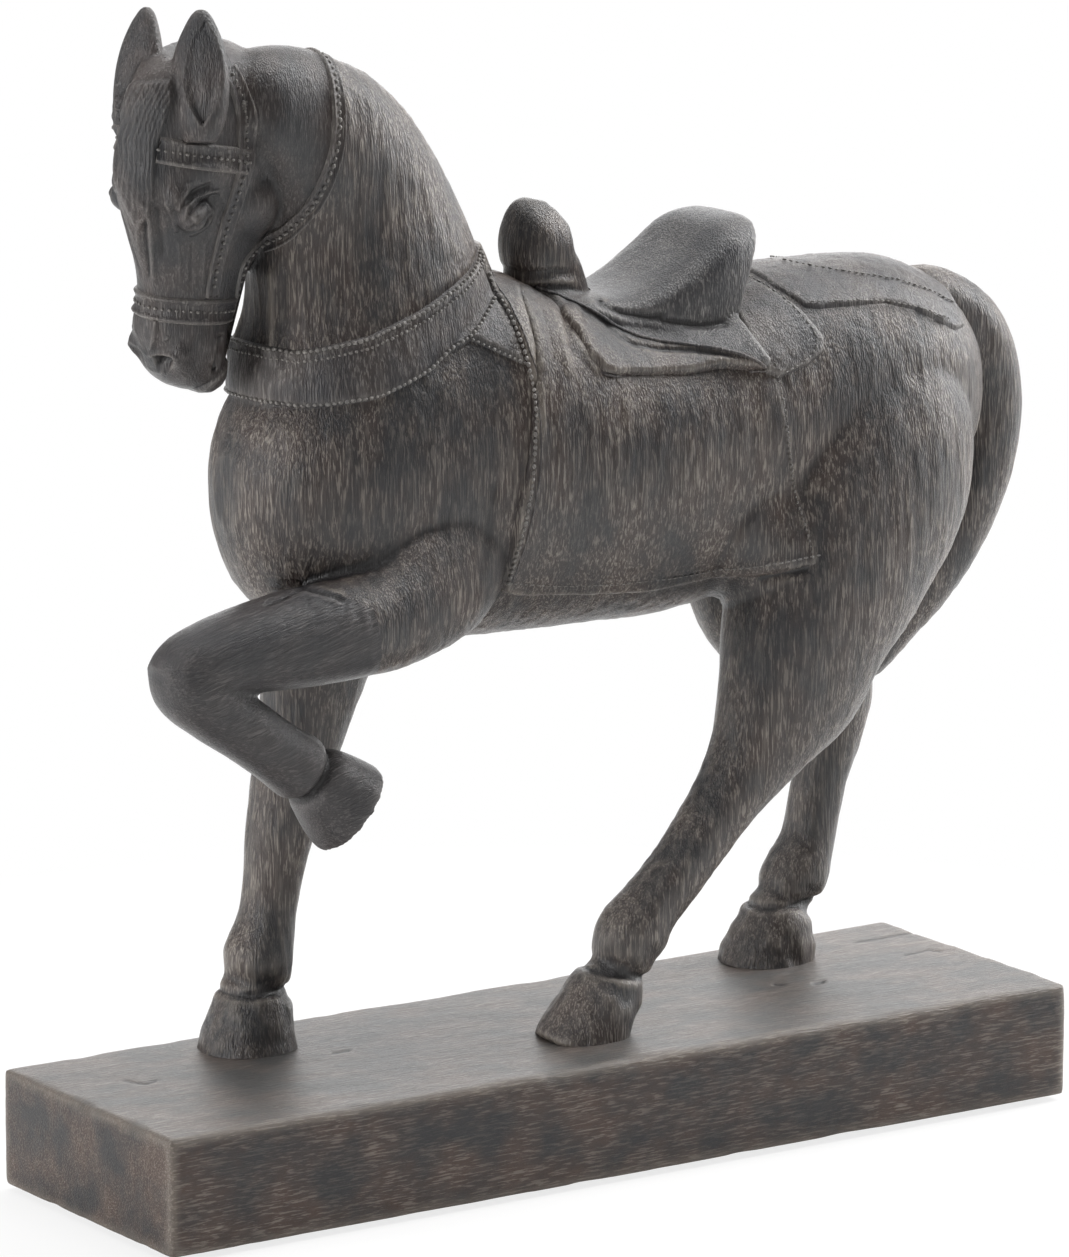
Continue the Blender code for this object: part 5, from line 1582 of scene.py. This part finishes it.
def build_rows(skins, finders, bridle_rows, looks):
    """Beads, stitches and welts along the edges of the harness."""
    beads = bead_tree()
    welts = welt_tree()
    bead = dict(Spacing=1.75 * MM, Radius=0.56 * MM, Stretch=1.15, Unevenness=0.22, Finish=looks["bead"])
    small = dict(bead, Spacing=1.6 * MM, Radius=0.42 * MM)
    stitch = dict(bead, Spacing=1.9 * MM, Radius=0.28 * MM, Stretch=2.3)
    cord = dict(Spacing=0.9 * MM, Radius=0.42 * MM, Unevenness=0.25, Finish=looks["strap"])
    for slot_name in dict.fromkeys(row[0] for row in bridle_rows):
        lines = [
            settled(skins["head"], finders["head"], line, height)
            for name, line, height in bridle_rows
            if name == slot_name
        ]
        row = dict(bead, Spacing=2.1 * MM) if slot_name == "neck_strap" else dict(small, Spacing=2.0 * MM)
        along_lines(slot_name + "_beads", beads, lines, row, slot_name)

    collar = [round_neck(skins["horse"], finders["horse"], path, 1.3) for path in (COLLAR_TOP, COLLAR_FOOT)]
    second_path = [(x, z - SECOND_ROW_DROP) for x, z in COLLAR_TOP]
    second = round_neck(skins["horse"], finders["horse"], second_path, 1.25)
    along_lines("collar_top_beads", beads, collar[:1], bead, "breast_collar")
    along_lines("collar_second_beads", beads, [second], small, "breast_collar")
    along_lines("collar_foot_beads", beads, collar[1:], bead, "breast_collar")

    cloth_front = [(x + 1.9, z) for x, z in CLOTH_FRONT]
    cloth_hem = [(x, z + 1.6) for x, z in CLOTH_HEM]
    faint = dict(small, Radius=0.32 * MM)
    edging = dict(cord, Radius=0.6 * MM)
    # On both sides alike: piece, tree, skin it lies on, line, height over the skin, sizes and slot
    for name, tree, skin_name, line, height, sizes, slot_name in (
        ("collar_tie_beads", beads, "horse", COLLAR_TIE, 1.2, small, "breast_collar"),
        ("cloth_front_beads", beads, "horse", CLOTH_FRONT, 1.5, bead, "saddle_blanket"),
        ("cloth_front_cord", welts, "horse", cloth_front, 1.35, cord, "saddle_blanket"),
        ("cloth_hem_stitches", beads, "horse", cloth_hem, 1.45, stitch, "saddle_blanket"),
        ("cloth_rear_stitches", beads, "horse", CLOTH_REAR, 0.65, faint, "saddle_blanket"),
        ("skirt_foot_cord", welts, "saddle", SKIRT_FOOT, 0.1, edging, "saddle_seat"),
        ("skirt_top_cord", welts, "saddle", SKIRT_TOP, 0.05, edging, "saddle_seat"),
        ("flap_front_stitches", beads, "horse", FLAP_FRONT, 1.8, stitch, "left_rear_flap"),
        ("flap_rear_stitches", beads, "horse", FLAP_REAR, 1.75, stitch, "left_rear_flap"),
        ("crupper_top_stitches", beads, "horse", CRUPPER_TOP, 1.3, stitch, "crupper"),
        ("crupper_foot_stitches", beads, "horse", CRUPPER_FOOT, 1.3, stitch, "crupper"),
    ):
        skin, finder = skins[skin_name], finders[skin_name]
        lines = [settled(skin, finder, dropped(finder, line, side), height) for side in (-1, 1)]
        along_lines(name, tree, lines, sizes, slot_name)


def build_block(looks):
    """The block, soft at its edges and a little worn, with the cracks of its top, which dust and a painted
    sheen lighten.
    """
    half = (BLOCK_HIGH - BLOCK_LOW) / 2
    # The softening draws the ends in, so the block starts a little larger
    corners = np.array([(i, j, k) for i in (-1, 1) for j in (-1, 1) for k in (-1, 1)], float)
    corners *= half + (0.8, 0.4, 0.1)
    corners[:, 2] -= half[2]
    tris = [
        (0, 1, 3), (0, 3, 2), (4, 6, 7), (4, 7, 5), (0, 4, 5), (0, 5, 1),
        (2, 3, 7), (2, 7, 6), (0, 2, 6), (0, 6, 4), (1, 5, 7), (1, 7, 3),
    ]
    block = skin_over([outward(corners, np.array(tris))], BLOCK_GRAIN, BLOCK_SOFTENING)
    edge = smooth_step(block.standing_out(12), 0.05, 0.5)
    worn = BLOCK_WEAR * noise(block.points, (22.0, 6.0, 6.0), 11)
    worn += BLOCK_FINE_WEAR * noise(block.points, (9.0, 2.5, 2.5), 12)
    dents = np.minimum(0.0, noise(block.points, (9.0, 6.0, 6.0), 13)) * edge
    cracks = stroked(seen(block.points), BLOCK_STROKES, smooth_step(block.normals[:, 2], 0.5, 0.9))
    block.press(worn + BLOCK_DENTS * dents + cracks)
    paint = brush_paint(block)
    # Upward faces lightened: dust, and a painted sheen
    paint["dust_and_sheen"] = BLOCK_DUST_AND_SHEEN * smooth_step(block.normals[:, 2], 0.6, 0.95)
    piece("block_casting", block.points, block.tris, looks["block"], "block", ("block",), paint=paint)


def build_pads(looks):
    """A bumper with a domed foot in place of each plain pad."""
    for name in ("left_front_pad", "right_front_pad", "left_rear_pad", "right_rear_pad"):
        low, high = (np.array(corner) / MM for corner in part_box(name))
        x, y, _ = (low + high) / 2
        radius = (high[0] - low[0]) / 2
        foot = low[2] - BLOCK_TOP
        rings = [*PAD_DOME, (PAD_SEAT, high[2] - low[2])]
        rows = [(x, y, foot + height, *[radius * share] * 3) for share, height in rings]
        points, tris = loft(rows, sides=48, steps=3, squareness=2.0, facing=(0.0, 0.0, 1.0))
        piece(name + "_bumper", points, tris, looks["bumper"], name, (name,))


def build_stage():
    """A pale floor that keeps the statue's shadow, and turns to plain white for the camera farther out."""
    floor = linked("floor", bpy.data.meshes.new("floor"))
    reach, low = 6.0, CAD_BOX[0][2]
    corners = [(-reach, -reach, low), (reach, -reach, low), (reach, reach, low), (-reach, reach, low)]
    floor.data.from_pydata(corners, [], [(0, 1, 2, 3)])
    material, tree, shader = started("pale_floor")
    shader.inputs["Base Color"].default_value = colour("#f2f2f1")
    shader.inputs["Roughness"].default_value = 0.9
    rays = add(tree, "ShaderNodeLightPath").outputs
    straight = add(
        tree, "ShaderNodeMath",
        {0: rays["Is Camera Ray"], 1: rays["Is Transmission Ray"]}, operation="MAXIMUM",
    ).outputs[0]
    place = add(tree, "ShaderNodeTexCoord").outputs["Object"]
    away = add(tree, "ShaderNodeVectorMath", {0: place}, operation="LENGTH").outputs["Value"]
    plain = add(
        tree, "ShaderNodeMapRange",
        {"Value": away, "From Min": 0.16, "From Max": 0.36, "To Min": 0.8, "To Max": 1.0},
    ).outputs[0]
    share = add(tree, "ShaderNodeMath", {0: straight, 1: plain}, operation="MULTIPLY").outputs[0]
    white = add(tree, "ShaderNodeEmission", {"Color": (1.0, 1.0, 1.0, 1.0), "Strength": 1.0}).outputs[0]
    mixed = add(tree, "ShaderNodeMixShader", {0: share, 1: shader.outputs[0], 2: white}).outputs[0]
    tree.links.new(mixed, tree.nodes["Material Output"].inputs["Surface"])
    floor.data.materials.append(material)


def build_backdrop():
    """White for the camera, faint for the light it sheds, and between the two in the resin's sheen."""
    world = bpy.data.worlds.new("studio")
    bpy.context.scene.world = world
    world.use_nodes = True
    tree = world.node_tree
    dim = tree.nodes["Background"]
    dim.inputs["Color"].default_value = (1.0, 1.0, 1.0, 1.0)
    dim.inputs["Strength"].default_value = 0.11
    rays = add(tree, "ShaderNodeLightPath").outputs
    straight = add(
        tree, "ShaderNodeMath",
        {0: rays["Is Camera Ray"], 1: rays["Is Transmission Ray"]}, operation="MAXIMUM",
    ).outputs[0]
    white = add(tree, "ShaderNodeBackground", {"Color": (1.0, 1.0, 1.0, 1.0), "Strength": 1.0}).outputs[0]
    sheen = add(tree, "ShaderNodeMath", {0: rays["Is Glossy Ray"], 1: 0.32}, operation="MULTIPLY").outputs[0]
    share = add(tree, "ShaderNodeMath", {0: straight, 1: sheen}, operation="MAXIMUM").outputs[0]
    mixed = add(tree, "ShaderNodeMixShader", {0: share, 1: dim.outputs[0], 2: white}).outputs[0]
    tree.links.new(mixed, tree.nodes["World Output"].inputs["Surface"])


def build_lamps():
    """Soft boxes, each turned to the middle of the statue: place and width in metres, and power in watts."""
    aim = Vector((0.0, 0.0, 0.16))
    for name, place, width, watts in (
        ("top_box", (0.1, 0.2, 1.5), 1.4, 22.0),
        ("left_box", (-1.8, 0.2, 0.5), 0.8, 24.0),
        ("back_box", (1.1, 1.6, 0.7), 1.2, 11.0),
        ("right_box", (1.4, -0.1, 1.3), 0.7, 32.0),
        ("rear_box", (1.8, 0.1, 0.5), 0.7, 18.0),
    ):
        lamp = bpy.data.lights.new(name, "AREA")
        lamp.shape = "SQUARE"
        lamp.size = width
        lamp.energy = watts
        obj = linked(name, lamp)
        obj.location = place
        obj.rotation_euler = (aim - Vector(place)).to_track_quat("-Z", "Y").to_euler()


def build_camera():
    """The camera where the photographer's stood."""
    back = Vector(view_axes()[0])
    lens = bpy.data.cameras.new("camera")
    lens.sensor_width = 36.0
    lens.lens = lens.sensor_width * VIEW_SCALE / PHOTO_HEIGHT
    lens.clip_end = 50.0
    camera = linked("camera", lens)
    camera.location = (Vector(VIEW_CENTRE) + back * VIEW_DISTANCE) * MM
    camera.rotation_euler = back.to_track_quat("Z", "Y").to_euler()
    bpy.context.scene.camera = camera
    bpy.context.scene.view_settings.view_transform = "Standard"


def make_looks():
    """Every finish of the statue, by the kind of piece that wears it."""
    across_leg = (0.0, 1.3, 0.0)
    along_block = (0.0, math.pi / 2, 0.0)
    return {
        "horse": stained_resin("stained_resin", "#1c1b1e", "#392b25", "#8f877e", brushed=0.62),
        "leg": stained_resin(
            "stained_resin_across", "#212023", "#322a28", "#777270", lean=across_leg, brushed=0.35, stain=0.4
        ),
        "head": stained_resin(
            "stained_resin_fine", "#202023", "#392e2a", "#7e7975", across=0.42, along=4.0, brushed=0.42
        ),
        "cloth": stained_resin("stained_resin_cloth", "#1d1c1f", "#3d2e27", "#918a81", brushed=0.62),
        "strap": stained_resin("stained_resin_strap", "#232226", "#3a302b", "#8c8782", brushed=0.5),
        "seat": stained_resin("stained_resin_seat", "#26262a", "#35302e", "#85827f", along=2.6, stain=0.4),
        "bead": stained_resin("stained_resin_beads", "#62605e", "#6a645f", "#a5a29d", along=1.0),
        "block": stained_resin(
            "stained_resin_block", "#1b1a1d", "#432f25", "#7c736a", lean=along_block, across=0.55, along=6.0,
            rough=0.42, stain=0.9,
        ),
        "bumper": rubber("polyurethane_bumper"),
        "steel": drawn_steel("drawn_steel"),
    }


def main():
    """The stage, the sculpted skins, the pieces cut from them, and then what lies on them."""
    build_backdrop()
    build_lamps()
    build_camera()
    build_stage()
    looks = make_looks()
    horse = sculpt_horse()
    head = sculpt_head()
    saddle = sculpt_saddle(horse)
    cast_horse(horse, looks)
    cast_head(head, looks)
    build_tail(looks)
    skins = {"horse": horse, "head": head, "saddle": saddle}
    finders = {name: tree_of(skin) for name, skin in skins.items()}
    build_saddle(saddle, looks)
    build_harness(horse, looks)
    bridle_rows = build_bridle(head, finders["head"], looks)
    build_rows(skins, finders, bridle_rows, looks)
    build_block(looks)
    build_pads(looks)
    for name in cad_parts:
        if name.endswith(("_pin", "_dowel")):
            bpy.data.objects[name].material_slots[0].material = looks["steel"]


main()
